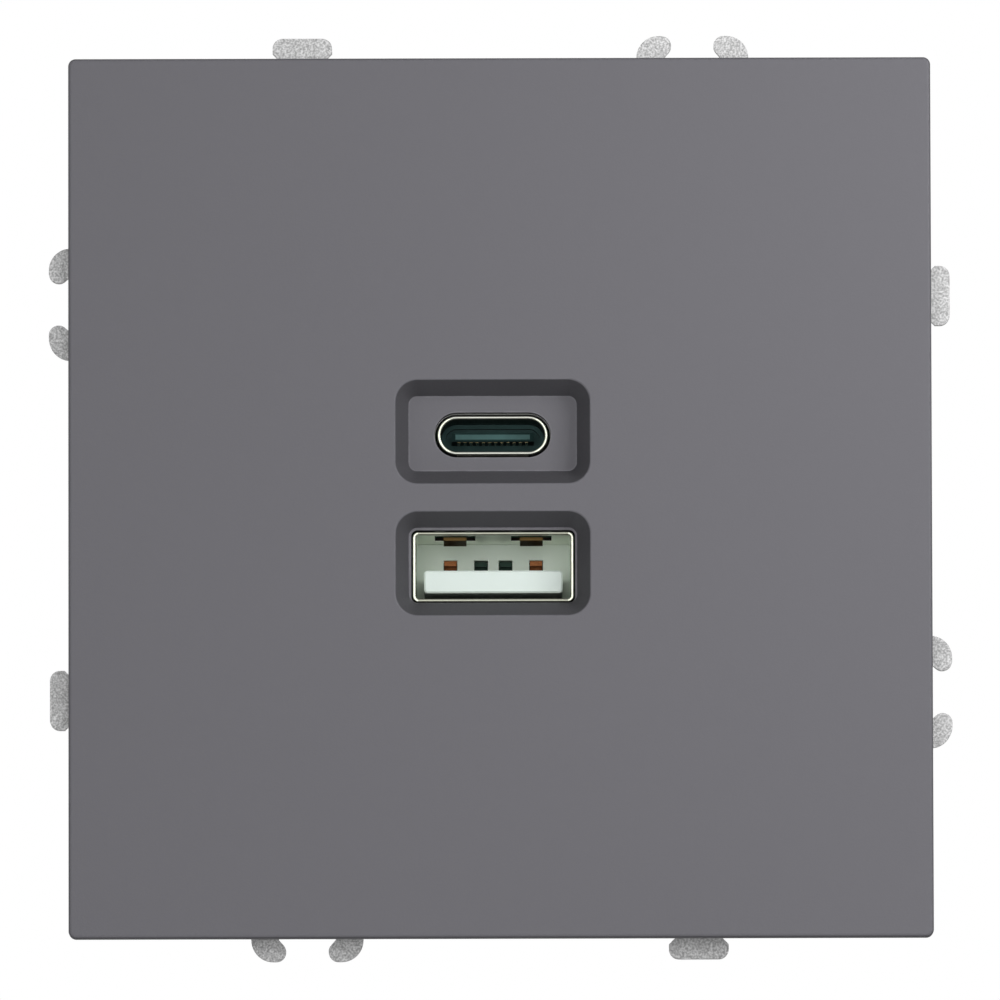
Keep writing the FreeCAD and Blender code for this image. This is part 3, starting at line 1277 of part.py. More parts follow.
def make_port_board():
    body = new_body("port_board")
    board = front_sketch(body, "port_board_outline", "port_board_place")
    box_outline(board, "0", "0", "board_width", "board_height", "board_corner")
    add(body, board, "board_thick")
    return body


def make_main_board():
    """The power board, with a slot for the tail of each contact bar."""
    body = new_body("main_board")
    board = front_sketch(body, "main_board_outline", "main_board_place")
    box_outline(board, "0", "0", "main_board_width", "board_height", "board_corner")
    add(body, board, "board_thick")
    slots = front_sketch(body, "bar_slots", "main_board_place")
    for side in (1, -1):
        box_outline(slots, f"{side} * terminal_place", "bar_top - bar_thick / 2",
                    "bar_width / 2 + clamp_gap", "bar_thick + clamp_gap")
    cut(body, slots, "board_thick")
    return body


def make_board_link():
    """A row of square pins between the two boards."""
    body = new_body("board_link_pins")
    count = 4
    pin = front_sketch(body, "link_pin_outline", "port_board_back")
    box_outline(pin, f"-link_pitch * {count - 1} / 2", "link_level", "link_pin", "link_pin")
    one = add(body, pin, "main_board_place - port_board_back")
    row_of(body, [one], "link_pin_row", "X_Axis", f"link_pitch * {count - 1}", count)
    return body


def make_insulation_sheet():
    body = new_body("insulation_sheet")
    sheet_outline = front_sketch(body, "barrier", "port_board_back")
    box_outline(sheet_outline, "0", "0", "barrier_width", "barrier_width", "board_corner")
    add(body, sheet_outline, "sheet_barrier")
    return body


def make_transformer_core():
    """Two E cores meeting face to face: a frame with a round centre leg."""
    body = new_body("transformer_core")
    front = "(core_depth - core_thick / 2)"
    block = front_sketch(body, "core_block", front)
    box_outline(block, "core_x", "core_z", "core_width", "core_height")
    add(body, block, "core_thick")
    windows = front_sketch(body, "core_windows", front)
    box_outline(windows, "core_x", "core_z", "core_width - 2 * core_leg", "core_height - 2 * core_leg")
    cut(body, windows, "core_thick")
    leg = plan_sketch(body, "core_centre_leg", "core_z")
    circle(leg, "core_x", "core_depth", "core_leg / 2")
    add(body, leg, "core_height - core_leg", both=True)
    return body


def make_transformer_bobbin():
    """A spool round the core's centre leg, on a plate that stands on the main board."""
    body = new_body("transformer_bobbin")
    room = "(core_height - 2 * core_leg - 2 * fit_gap)"
    tube = plan_sketch(body, "bobbin_tube", "core_z")
    circle(tube, "core_x", "core_depth", "core_leg / 2 + flange_thick")
    add(body, tube, room, both=True)
    for side in (1, -1):
        flange = plan_sketch(body, f"bobbin_flange_{'upper' if side > 0 else 'lower'}",
                             f"core_z + {side} * ({room} - flange_thick) / 2")
        box_outline(flange, "core_x", "core_depth", "core_width - 2 * core_leg - 2 * fit_gap",
                    "2 * flange_radius", "flange_thick")
        add(body, flange, "flange_thick", both=True)
    plate = front_sketch(body, "bobbin_plate", "core_depth + coil_radius + fit_gap")
    box_outline(plate, "core_x", "core_z", "core_width", "core_height", "flange_thick")
    add(body, plate, "main_board_place - core_depth - coil_radius - fit_gap")
    bore = plan_sketch(body, "bobbin_bore", "core_z")
    circle(bore, "core_x", "core_depth", "core_leg / 2 + fit_gap")
    cut(body, bore, "core_height", both=True)
    return body


def make_transformer_winding():
    body = new_body("transformer_winding")
    length = "(core_height - 2 * core_leg - 2 * flange_thick - 4 * fit_gap)"
    coil = plan_sketch(body, "coil", "core_z")
    circle(coil, "core_x", "core_depth", "coil_radius")
    circle(coil, "core_x", "core_depth", "core_leg / 2 + flange_thick + fit_gap")
    add(body, coil, length, both=True)
    return body


def add_can(body, name, x, z, radius, length):
    """A can capacitor standing on the main board, with a pressed groove near its foot."""
    sketch = wall_screw_sketch(body, name, x, z)
    top = f"(main_board_place - {length})"
    groove = f"(main_board_place - {length} / 6)"
    depth = f"{radius} / 12"
    outline(sketch, [
        ("0", top), (radius, top, f"{radius} / 6"), (radius, f"{groove} - {depth}"),
        (f"{radius} - {depth}", groove), (radius, f"{groove} + {depth}"),
        (radius, "main_board_place", f"{radius} / 10"), ("0", "main_board_place"),
    ])
    return spin(body, sketch, "V_Axis")


def make_cans(name, x, level, pitch, radius, length):
    body = new_body(name)
    add_can(body, f"{name}_upper", x, level, radius, length)
    add_can(body, f"{name}_lower", x, f"{level} - {pitch}", radius, length)
    return body


def make_input_choke():
    """A ferrite drum with its waist wound."""
    body = new_body("input_choke")
    sketch = wall_screw_sketch(body, "drum", "-choke_x", "-choke_z")
    top = "(main_board_place - choke_length)"
    rim = "choke_length / 6"
    outline(sketch, [
        ("0", top), ("choke_radius", top), ("choke_radius", f"{top} + {rim}"),
        ("choke_radius * 0.85", f"{top} + {rim}"), ("choke_radius * 0.85", f"main_board_place - {rim}"),
        ("choke_radius", f"main_board_place - {rim}"), ("choke_radius", "main_board_place"),
        ("0", "main_board_place"),
    ])
    spin(body, sketch, "V_Axis")
    return body


def make_fuse_resistor():
    """A barrel along Z, with its leads bent down to the main board."""
    body = new_body("fuse_resistor")
    depth = "(main_board_place - fuse_radius - lead_radius)"
    barrel = plan_sketch(body, "fuse_barrel", "-fuse_z")
    circle(barrel, "-fuse_x", depth, "fuse_radius")
    add(body, barrel, "fuse_length", both=True)
    wire = plan_sketch(body, "fuse_wire", "-fuse_z")
    circle(wire, "-fuse_x", depth, "lead_radius")
    add(body, wire, "fuse_length + 4 * lead_radius", both=True)
    legs = front_sketch(body, "fuse_legs", depth)
    for side in (1, -1):
        circle(legs, "-fuse_x", f"{side} * (fuse_length / 2 + lead_radius) - fuse_z", "lead_radius")
    add(body, legs, f"main_board_place - {depth}")
    return body


def make_surge_absorber():
    """A coated disc on two leads."""
    body = new_body("surge_absorber")
    depth = "(main_board_place - disc_radius - 2 * lead_radius)"
    disc = side_sketch(body, "disc", "disc_x")
    circle(disc, depth, "-disc_z", "disc_radius")
    grown = add(body, disc, "disc_thick", both=True)
    doc.recompute()
    edges = [f"Edge{index}" for index, edge in enumerate(grown.Shape.Edges, 1)
             if edge.BoundBox.XLength < 1e-6]
    soften(body, "Fillet", "disc_round", grown, edges, "disc_thick / 3")
    legs = front_sketch(body, "disc_legs", depth)
    for side in (1, -1):
        circle(legs, "disc_x", f"{side} * disc_radius * 0.7 - disc_z", "lead_radius")
    add(body, legs, f"main_board_place - {depth}")
    return body


def make_block(name, x, z, width, height, front, depth, corner):
    """A moulded component: a block with its upright edges rounded."""
    body = new_body(name)
    sketch = front_sketch(body, f"{name}_outline", front)
    box_outline(sketch, x, z, width, height, corner)
    add(body, sketch, depth)
    return body


def make_components():
    return [
        make_cans("bulk_capacitors", "-can_x", "can_z", "can_pitch", "can_radius", "can_length"),
        make_cans("output_capacitors", "output_can_x", "output_can_z", "output_can_pitch",
                  "output_can_radius", "output_can_length"),
        make_input_choke(),
        make_fuse_resistor(),
        make_surge_absorber(),
        make_block("suppression_capacitor", "film_x", "-film_z", "film_width", "film_height",
                   "main_board_place - film_depth", "film_depth", "board_corner / 4"),
        make_block("bridge_rectifier", "-bridge_x", "-bridge_z", "bridge_width", "bridge_height",
                   "main_board_place - bridge_depth", "bridge_depth", "board_corner / 8"),
        make_block("primary_controller", "-chip_x", "chip_z", "chip_width", "chip_height",
                   "main_board_back", "chip_depth", "board_corner / 8"),
        make_block("output_rectifier", "diode_x", "chip_z", "diode_width", "diode_height",
                   "main_board_back", "diode_depth", "board_corner / 8"),
        make_block("port_controller", "logic_x", "-logic_z", "logic_size", "logic_size",
                   "port_board_place - logic_depth", "logic_depth", "board_corner / 16"),
    ]


def make_all():
    parts = [
        make_front_cover(), make_support_frame(), make_housing_front(), make_housing_rear(),
        make_cover_clips(), make_support_screws(), make_usb_a_shell(), make_usb_a_insulator(),
        make_usb_a_contacts(), make_usb_c_shell(), make_usb_c_insulator(), make_usb_c_contacts(),
        make_port_board(), make_main_board(), make_board_link(), make_insulation_sheet(),
        make_transformer_core(), make_transformer_bobbin(), make_transformer_winding(),
    ]
    parts += make_components()
    for pole, side in (("live", 1), ("neutral", -1)):
        parts.append(make_contact_bar(f"{pole}_contact_bar", side))
        parts.append(make_clamp(f"{pole}_clamp", side))
        parts.append(make_terminal_screw(f"{pole}_terminal_screw", side))
    for hand, side in (("right", 1), ("left", -1)):
        parts.append(make_claw(f"{hand}_claw", side))
        parts.append(make_claw_nut(f"{hand}_claw_nut", side))
        parts.append(make_claw_screw(f"{hand}_claw_screw", side))
    return parts


def check_and_save(parts):
    """Stops at any failed object or bad shape, then writes one file for each piece."""
    doc.recompute()
    for thing in doc.Objects:
        if "Invalid" in thing.State or "Error" in thing.State:
            raise ValueError(f"{thing.Name} failed: {thing.State}")
    for part in parts:
        if part.Shape.isNull() or not part.Shape.isValid():
            raise ValueError(f"{part.Label} has no valid shape")
    os.makedirs("parts", exist_ok=True)
    for part in parts:
        part.Shape.exportStep(f"parts/{part.Label}.step")
        print(part.Label, len(part.Shape.Solids), "solid(s)", round(part.Shape.Volume, 1), "mm3")


check_and_save(make_all())
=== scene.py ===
import bpy
import bmesh
import json
import math
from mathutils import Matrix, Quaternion, Vector


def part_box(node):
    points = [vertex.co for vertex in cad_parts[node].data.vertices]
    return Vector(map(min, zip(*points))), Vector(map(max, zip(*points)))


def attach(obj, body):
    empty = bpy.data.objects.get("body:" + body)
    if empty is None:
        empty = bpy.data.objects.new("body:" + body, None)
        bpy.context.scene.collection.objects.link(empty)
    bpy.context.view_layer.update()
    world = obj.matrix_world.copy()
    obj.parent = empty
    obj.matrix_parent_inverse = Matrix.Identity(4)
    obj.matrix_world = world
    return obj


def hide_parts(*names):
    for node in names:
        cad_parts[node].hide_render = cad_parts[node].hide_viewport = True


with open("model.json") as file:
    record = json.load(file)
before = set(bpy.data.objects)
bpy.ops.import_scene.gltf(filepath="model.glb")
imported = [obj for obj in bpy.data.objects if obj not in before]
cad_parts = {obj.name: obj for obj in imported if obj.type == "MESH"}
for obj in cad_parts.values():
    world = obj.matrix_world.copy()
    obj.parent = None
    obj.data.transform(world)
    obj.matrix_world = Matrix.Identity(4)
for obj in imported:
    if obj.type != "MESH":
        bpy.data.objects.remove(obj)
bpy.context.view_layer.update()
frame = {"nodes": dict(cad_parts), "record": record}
mm = 0.001
print("frame loaded,", len(frame["nodes"]), "nodes")


# small helpers for node trees

def place(tree, kind, x, y, **settings):
    node = tree.nodes.new(kind)
    node.location = (x, y)
    for key, value in settings.items():
        setattr(node, key, value)
    return node


def join(tree, source, target):
    tree.links.new(source, target)


def newGroup(name, inputs, outputs):
    group = bpy.data.node_groups.new(name, "ShaderNodeTree")
    for label, kind, value in inputs:
        socket = group.interface.new_socket(name=label, in_out="INPUT", socket_type=kind)
        socket.default_value = value
    for label, kind in outputs:
        group.interface.new_socket(name=label, in_out="OUTPUT", socket_type=kind)
    start = place(group, "NodeGroupInput", -900, 0)
    end = place(group, "NodeGroupOutput", 700, 0)
    return group, start, end


def useGroup(tree, group, x, y, **values):
    node = place(tree, "ShaderNodeGroup", x, y, node_tree=group)
    for label, value in values.items():
        node.inputs[label].default_value = value
    return node


def blendColour(tree, x, y, factor, first, second, mode="MIX"):
    # factor, first and second are sockets or plain values
    node = place(tree, "ShaderNodeMix", x, y, data_type="RGBA", blend_type=mode)
    for index, value in ((0, factor), (6, first), (7, second)):
        if isinstance(value, bpy.types.NodeSocket):
            join(tree, value, node.inputs[index])
        elif index:
            node.inputs[index].default_value = (*value, 1)
        else:
            node.inputs[index].default_value = value
    return node.outputs[2]


def remap(tree, x, y, value, low, high, toLow, toHigh):
    node = place(tree, "ShaderNodeMapRange", x, y)
    join(tree, value, node.inputs["Value"])
    for label, number in (("From Min", low), ("From Max", high), ("To Min", toLow), ("To Max", toHigh)):
        if isinstance(number, bpy.types.NodeSocket):
            join(tree, number, node.inputs[label])
        else:
            node.inputs[label].default_value = number
    return node.outputs["Result"]


# shared surface effects

effects = {
    "fineDetail": 2.0, "slowDetail": 3.0, "gritDetail": 1.0, "lineDetail": 2.0,
    "bevelSamples": 4, "edgeStarts": 0.98, "edgeFull": 0.8,
    "patchLow": 0.35, "patchHigh": 0.65, "patchLeast": 0.3,
    "speckLow": 0.38, "speckHigh": 0.62, "speckShare": 0.65,
    "noiseLow": 0.3, "noiseHigh": 0.7, "shadeLow": 0.2, "shadeHigh": 0.8,
}


def makeGrain():
    # fine spark-eroded texture of a moulding: a height and a slow tint
    group, start, end = newGroup(
        "mouldGrain",
        [("Fine", "NodeSocketFloat", 9000.0), ("Slow", "NodeSocketFloat", 60.0)],
        [("Height", "NodeSocketFloat"), ("Tint", "NodeSocketFloat")],
    )
    coords = place(group, "ShaderNodeTexCoord", -900, -300)
    fine = place(group, "ShaderNodeTexNoise", -500, 100)
    fine.inputs["Detail"].default_value = effects["fineDetail"]
    slow = place(group, "ShaderNodeTexNoise", -500, -200)
    slow.inputs["Detail"].default_value = effects["slowDetail"]
    for node, label in ((fine, "Fine"), (slow, "Slow")):
        join(group, coords.outputs["Object"], node.inputs["Vector"])
        join(group, start.outputs[label], node.inputs["Scale"])
    join(group, fine.outputs["Fac"], end.inputs["Height"])
    join(group, slow.outputs["Fac"], end.inputs["Tint"])
    return group


def makeEdgeWearAndHighlight():
    # a mask along sharp outer and inner edges, used for edge wear and for a painted highlight on edges
    group, start, end = newGroup(
        "edgeWearAndHighlight",
        [("Width", "NodeSocketFloat", 0.0002), ("Patchiness", "NodeSocketFloat", 900.0)],
        [("Mask", "NodeSocketFloat")],
    )
    bevel = place(group, "ShaderNodeBevel", -600, 100, samples=effects["bevelSamples"])
    join(group, start.outputs["Width"], bevel.inputs["Radius"])
    true = place(group, "ShaderNodeNewGeometry", -600, -100)
    dot = place(group, "ShaderNodeVectorMath", -400, 0, operation="DOT_PRODUCT")
    join(group, bevel.outputs["Normal"], dot.inputs[0])
    join(group, true.outputs["Normal"], dot.inputs[1])
    starts, full = effects["edgeStarts"], effects["edgeFull"]
    edge = remap(group, -200, 0, dot.outputs["Value"], starts, full, 0.0, 1.0)
    coords = place(group, "ShaderNodeTexCoord", -600, -300)
    patches = place(group, "ShaderNodeTexNoise", -400, -300)
    join(group, coords.outputs["Object"], patches.inputs["Vector"])
    join(group, start.outputs["Patchiness"], patches.inputs["Scale"])
    low, high, least = effects["patchLow"], effects["patchHigh"], effects["patchLeast"]
    spots = remap(group, -200, -300, patches.outputs["Fac"], low, high, least, 1.0)
    both = place(group, "ShaderNodeMath", 200, 0, operation="MULTIPLY")
    join(group, edge, both.inputs[0])
    join(group, spots, both.inputs[1])
    join(group, both.outputs[0], end.inputs["Mask"])
    return group


def makeSpangle():
    # zinc crystals and a gritty speckle
    group, start, end = newGroup(
        "zincSpangle",
        [("Crystals", "NodeSocketFloat", 1400.0), ("Grit", "NodeSocketFloat", 7000.0)],
        [("Shade", "NodeSocketFloat"), ("Height", "NodeSocketFloat")],
    )
    coords = place(group, "ShaderNodeTexCoord", -900, -300)
    cells = place(group, "ShaderNodeTexVoronoi", -600, 100)
    grit = place(group, "ShaderNodeTexNoise", -600, -200)
    grit.inputs["Detail"].default_value = effects["gritDetail"]
    join(group, coords.outputs["Object"], cells.inputs["Vector"])
    join(group, coords.outputs["Object"], grit.inputs["Vector"])
    join(group, start.outputs["Crystals"], cells.inputs["Scale"])
    join(group, start.outputs["Grit"], grit.inputs["Scale"])
    grey = place(group, "ShaderNodeSeparateColor", -400, 100)
    join(group, cells.outputs["Color"], grey.inputs["Color"])
    low, high = effects["speckLow"], effects["speckHigh"]
    specks = remap(group, -400, -200, grit.outputs["Fac"], low, high, 0.0, 1.0)
    mixed = place(group, "ShaderNodeMix", 0, 0, data_type="FLOAT")
    mixed.inputs[0].default_value = effects["speckShare"]
    join(group, grey.outputs["Red"], mixed.inputs[2])
    join(group, specks, mixed.inputs[3])
    join(group, mixed.outputs[0], end.inputs["Shade"])
    join(group, specks, end.inputs["Height"])
    return group


def makeDrawLines():
    # faint parallel lines left by rolling, drawing or turning
    group, start, end = newGroup(
        "drawLines",
        [("Along", "NodeSocketVector", (1.0, 1.0, 1.0)), ("Fineness", "NodeSocketFloat", 4000.0)],
        [("Lines", "NodeSocketFloat")],
    )
    coords = place(group, "ShaderNodeTexCoord", -900, -300)
    stretch = place(group, "ShaderNodeVectorMath", -600, 0, operation="MULTIPLY")
    join(group, coords.outputs["Object"], stretch.inputs[0])
    join(group, start.outputs["Along"], stretch.inputs[1])
    lines = place(group, "ShaderNodeTexNoise", -300, 0)
    lines.inputs["Detail"].default_value = effects["lineDetail"]
    join(group, stretch.outputs[0], lines.inputs["Vector"])
    join(group, start.outputs["Fineness"], lines.inputs["Scale"])
    join(group, lines.outputs["Fac"], end.inputs["Lines"])
    return group


def makeSteepWalls():
    # 1 on walls along the mould's or the plug's direction, 0 on faces that look forward; it sets where
    # painted shade darkens such walls
    group, start, end = newGroup(
        "steepWalls",
        [("Flat", "NodeSocketFloat", 0.9), ("Steep", "NodeSocketFloat", 0.55)],
        [("Mask", "NodeSocketFloat")],
    )
    surface = place(group, "ShaderNodeNewGeometry", -600, 0)
    parts = place(group, "ShaderNodeSeparateXYZ", -400, 0)
    join(group, surface.outputs["Normal"], parts.inputs[0])
    size = place(group, "ShaderNodeMath", -200, 0, operation="ABSOLUTE")
    join(group, parts.outputs["Y"], size.inputs[0])
    mask = remap(group, 100, 0, size.outputs[0], start.outputs["Flat"], start.outputs["Steep"], 0.0, 1.0)
    join(group, mask, end.inputs["Mask"])
    return group


def makeInsideBox():
    # 1 inside a box of the part's frame, 0 outside; Core is the share of the box that is fully inside
    group, start, end = newGroup(
        "insideBox",
        [("Centre", "NodeSocketVector", (0.0, 0.0, 0.0)), ("Half", "NodeSocketVector", (1.0, 1.0, 1.0)),
         ("Core", "NodeSocketFloat", 0.999)],
        [("Mask", "NodeSocketFloat")],
    )
    coords = place(group, "ShaderNodeTexCoord", -900, -300)
    offset = place(group, "ShaderNodeVectorMath", -700, 0, operation="SUBTRACT")
    join(group, coords.outputs["Object"], offset.inputs[0])
    join(group, start.outputs["Centre"], offset.inputs[1])
    share = place(group, "ShaderNodeVectorMath", -500, 0, operation="DIVIDE")
    join(group, offset.outputs[0], share.inputs[0])
    join(group, start.outputs["Half"], share.inputs[1])
    size = place(group, "ShaderNodeVectorMath", -300, 0, operation="ABSOLUTE")
    join(group, share.outputs[0], size.inputs[0])
    parts = place(group, "ShaderNodeSeparateXYZ", -100, 0)
    join(group, size.outputs[0], parts.inputs[0])
    first = place(group, "ShaderNodeMath", 100, 0, operation="MAXIMUM")
    join(group, parts.outputs["X"], first.inputs[0])
    join(group, parts.outputs["Y"], first.inputs[1])
    second = place(group, "ShaderNodeMath", 250, 0, operation="MAXIMUM")
    join(group, first.outputs[0], second.inputs[0])
    join(group, parts.outputs["Z"], second.inputs[1])
    mask = remap(group, 400, 0, second.outputs[0], start.outputs["Core"], 1.0, 1.0, 0.0)
    join(group, mask, end.inputs["Mask"])
    return group


grain = makeGrain()
edgeWearAndHighlight = makeEdgeWearAndHighlight()
steepWalls = makeSteepWalls()
insideBox = makeInsideBox()
spangle = makeSpangle()
drawLines = makeDrawLines()
print("surface effects ready")


# materials

def newMaterial(name):
    material = bpy.data.materials.new(name)
    material.use_nodes = True
    tree = material.node_tree
    tree.nodes.clear()
    shader = place(tree, "ShaderNodeBsdfPrincipled", 300, 0)
    output = place(tree, "ShaderNodeOutputMaterial", 600, 0)
    join(tree, shader.outputs[0], output.inputs["Surface"])
    return material, tree, shader


def addBump(tree, shader, height, distance, strength=1.0):
    bump = place(tree, "ShaderNodeBump", 0, -400)
    bump.inputs["Distance"].default_value = distance
    bump.inputs["Strength"].default_value = strength
    join(tree, height, bump.inputs["Height"])
    join(tree, bump.outputs["Normal"], shader.inputs["Normal"])


# what the finishes of all plastics or of all metals have in common
habits = {"plasticPatch": 1 / 6, "metalPatch": 1 / 8, "wornAndLitGain": 1.6, "wornAndLitLift": 0.02,
          "plasticSpread": 0.05, "metalDuller": 0.08, "metalShinier": -0.06}


def stain(tree, colour, regions):
    # lay a tone over the colour inside each box, mostly painted shade and painted light; a fourth entry
    # softens the box's border
    for index, (tone, low, high, *core) in enumerate(regions):
        spots = {"Centre": (low + high) / 2, "Half": (high - low) / 2}
        if core:
            spots["Core"] = core[0]
        region = useGroup(tree, insideBox, -500, 500 + 250 * index, **spots)
        colour = blendColour(tree, -150, 500 + 250 * index, region.outputs["Mask"], colour, tone)
    return colour


def mouldedPlastic(name, look):
    # a moulding with a fine grain, a slow tint and edges painted a little lighter, partly as wear and partly
    # as a painted highlight where edges catch the light
    material, tree, shader = newMaterial(name)
    texture = useGroup(tree, grain, -700, 0, Fine=look["grain"], Slow=look["slow"])
    edges = useGroup(tree, edgeWearAndHighlight, -700, -300, Width=look["edge"],
                     Patchiness=look["grain"] * habits["plasticPatch"])
    base = Vector(look["colour"])
    tint = look["tint"]
    colour = blendColour(tree, -550, 100, texture.outputs["Tint"], base * (1 - tint), base * (1 + tint))
    if "wallShade" in look:
        # walls along the mould's draw get painted shade, darker than the grained front
        shadedWalls = useGroup(tree, steepWalls, -700, 400, Flat=look["flatFrom"])
        colour = blendColour(tree, -400, 200, shadedWalls.outputs["Mask"], colour, base * look["wallShade"])
    # edges lightened: partly wear, partly a painted highlight
    wornAndLit = place(tree, "ShaderNodeMath", -400, -300, operation="MULTIPLY")
    join(tree, edges.outputs["Mask"], wornAndLit.inputs[0])
    wornAndLit.inputs[1].default_value = look["wearAndHighlight"]
    wornAndLitColour = tuple(min(1.0, part * habits["wornAndLitGain"] + habits["wornAndLitLift"]) for part in base)
    colour = blendColour(tree, -250, 100, wornAndLit.outputs[0], colour, wornAndLitColour)
    colour = stain(tree, colour, look.get("stains", ()))
    join(tree, colour, shader.inputs["Base Color"])
    smooth, dull = look["rough"] - habits["plasticSpread"], look["rough"] + habits["plasticSpread"]
    low, high = effects["noiseLow"], effects["noiseHigh"]
    rough = remap(tree, -100, -100, texture.outputs["Height"], low, high, smooth, dull)
    join(tree, rough, shader.inputs["Roughness"])
    shader.inputs["Specular IOR Level"].default_value = look["gloss"]
    addBump(tree, shader, texture.outputs["Height"], look["bump"])
    return material


def platedMetal(name, look):
    # plated or bare metal: crystals or draw lines in its shade and roughness
    material, tree, shader = newMaterial(name)
    crystals = useGroup(tree, spangle, -700, 100, Crystals=look["crystals"], Grit=look["grit"])
    lines = useGroup(tree, drawLines, -700, -100, Along=look["along"], Fineness=look["lines"])
    edges = useGroup(tree, edgeWearAndHighlight, -700, -300, Width=look["edge"],
                     Patchiness=look["grit"] * habits["metalPatch"])
    shade = place(tree, "ShaderNodeMix", -500, 0, data_type="FLOAT")
    shade.inputs[0].default_value = look["drawn"]
    join(tree, crystals.outputs["Shade"], shade.inputs[2])
    join(tree, lines.outputs["Lines"], shade.inputs[3])
    base = Vector(look["colour"])
    dark, bright = base * (1 - look["contrast"]), base * (1 + look["contrast"])
    body = blendColour(tree, -300, 100, shade.outputs[0], dark, bright)
    wornAndLit = place(tree, "ShaderNodeMath", -300, -300, operation="MULTIPLY")
    join(tree, edges.outputs["Mask"], wornAndLit.inputs[0])
    wornAndLit.inputs[1].default_value = look["wearAndHighlight"]
    worn = tuple(min(1.0, part * look["worn"]) for part in base)
    colour = blendColour(tree, -150, 100, wornAndLit.outputs[0], body, worn)
    colour = stain(tree, colour, look.get("stains", ()))
    join(tree, colour, shader.inputs["Base Color"])
    dull, shiny = look["rough"] + habits["metalDuller"], look["rough"] + habits["metalShinier"]
    low, high = effects["shadeLow"], effects["shadeHigh"]
    rough = remap(tree, -50, -100, shade.outputs[0], low, high, dull, shiny)
    join(tree, rough, shader.inputs["Roughness"])
    shader.inputs["Metallic"].default_value = look["metal"]
    addBump(tree, shader, shade.outputs[0], look["bump"])
    return material


def boardLacquer(name, look):
    # green lacquer over copper tracks and pads
    material, tree, shader = newMaterial(name)
    coords = place(tree, "ShaderNodeTexCoord", -1100, 0)
    tracks = place(tree, "ShaderNodeTexBrick", -900, 0, offset=look["stagger"], squash=look["stretch"])
    tracks.inputs["Scale"].default_value = look["tracks"]
    tracks.inputs["Mortar Size"].default_value = look["gap"]
    tracks.inputs["Brick Width"].default_value = look["trackLength"]
    tracks.inputs["Row Height"].default_value = look["trackWidth"]
    turn = place(tree, "ShaderNodeMapping", -1000, -200)
    turn.inputs["Rotation"].default_value = (math.radians(90), 0, 0)
    join(tree, coords.outputs["Object"], turn.inputs["Vector"])
    join(tree, turn.outputs["Vector"], tracks.inputs["Vector"])
    texture = useGroup(tree, grain, -900, -400, Fine=look["grain"], Slow=look["slow"])
    colour = blendColour(tree, -500, 100, tracks.outputs["Fac"], look["lacquer"], look["copper"])
    low, high = effects["noiseLow"], effects["noiseHigh"]
    weave = remap(tree, -500, -200, texture.outputs["Height"], low, high, 0.0, look["weave"])
    join(tree, blendColour(tree, -200, 100, weave, colour, look["shade"]), shader.inputs["Base Color"])
    rough = remap(tree, -200, -100, texture.outputs["Tint"], low, high, look["glossy"], look["dull"])
    join(tree, rough, shader.inputs["Roughness"])
    addBump(tree, shader, tracks.outputs["Fac"], look["bump"])
    return material


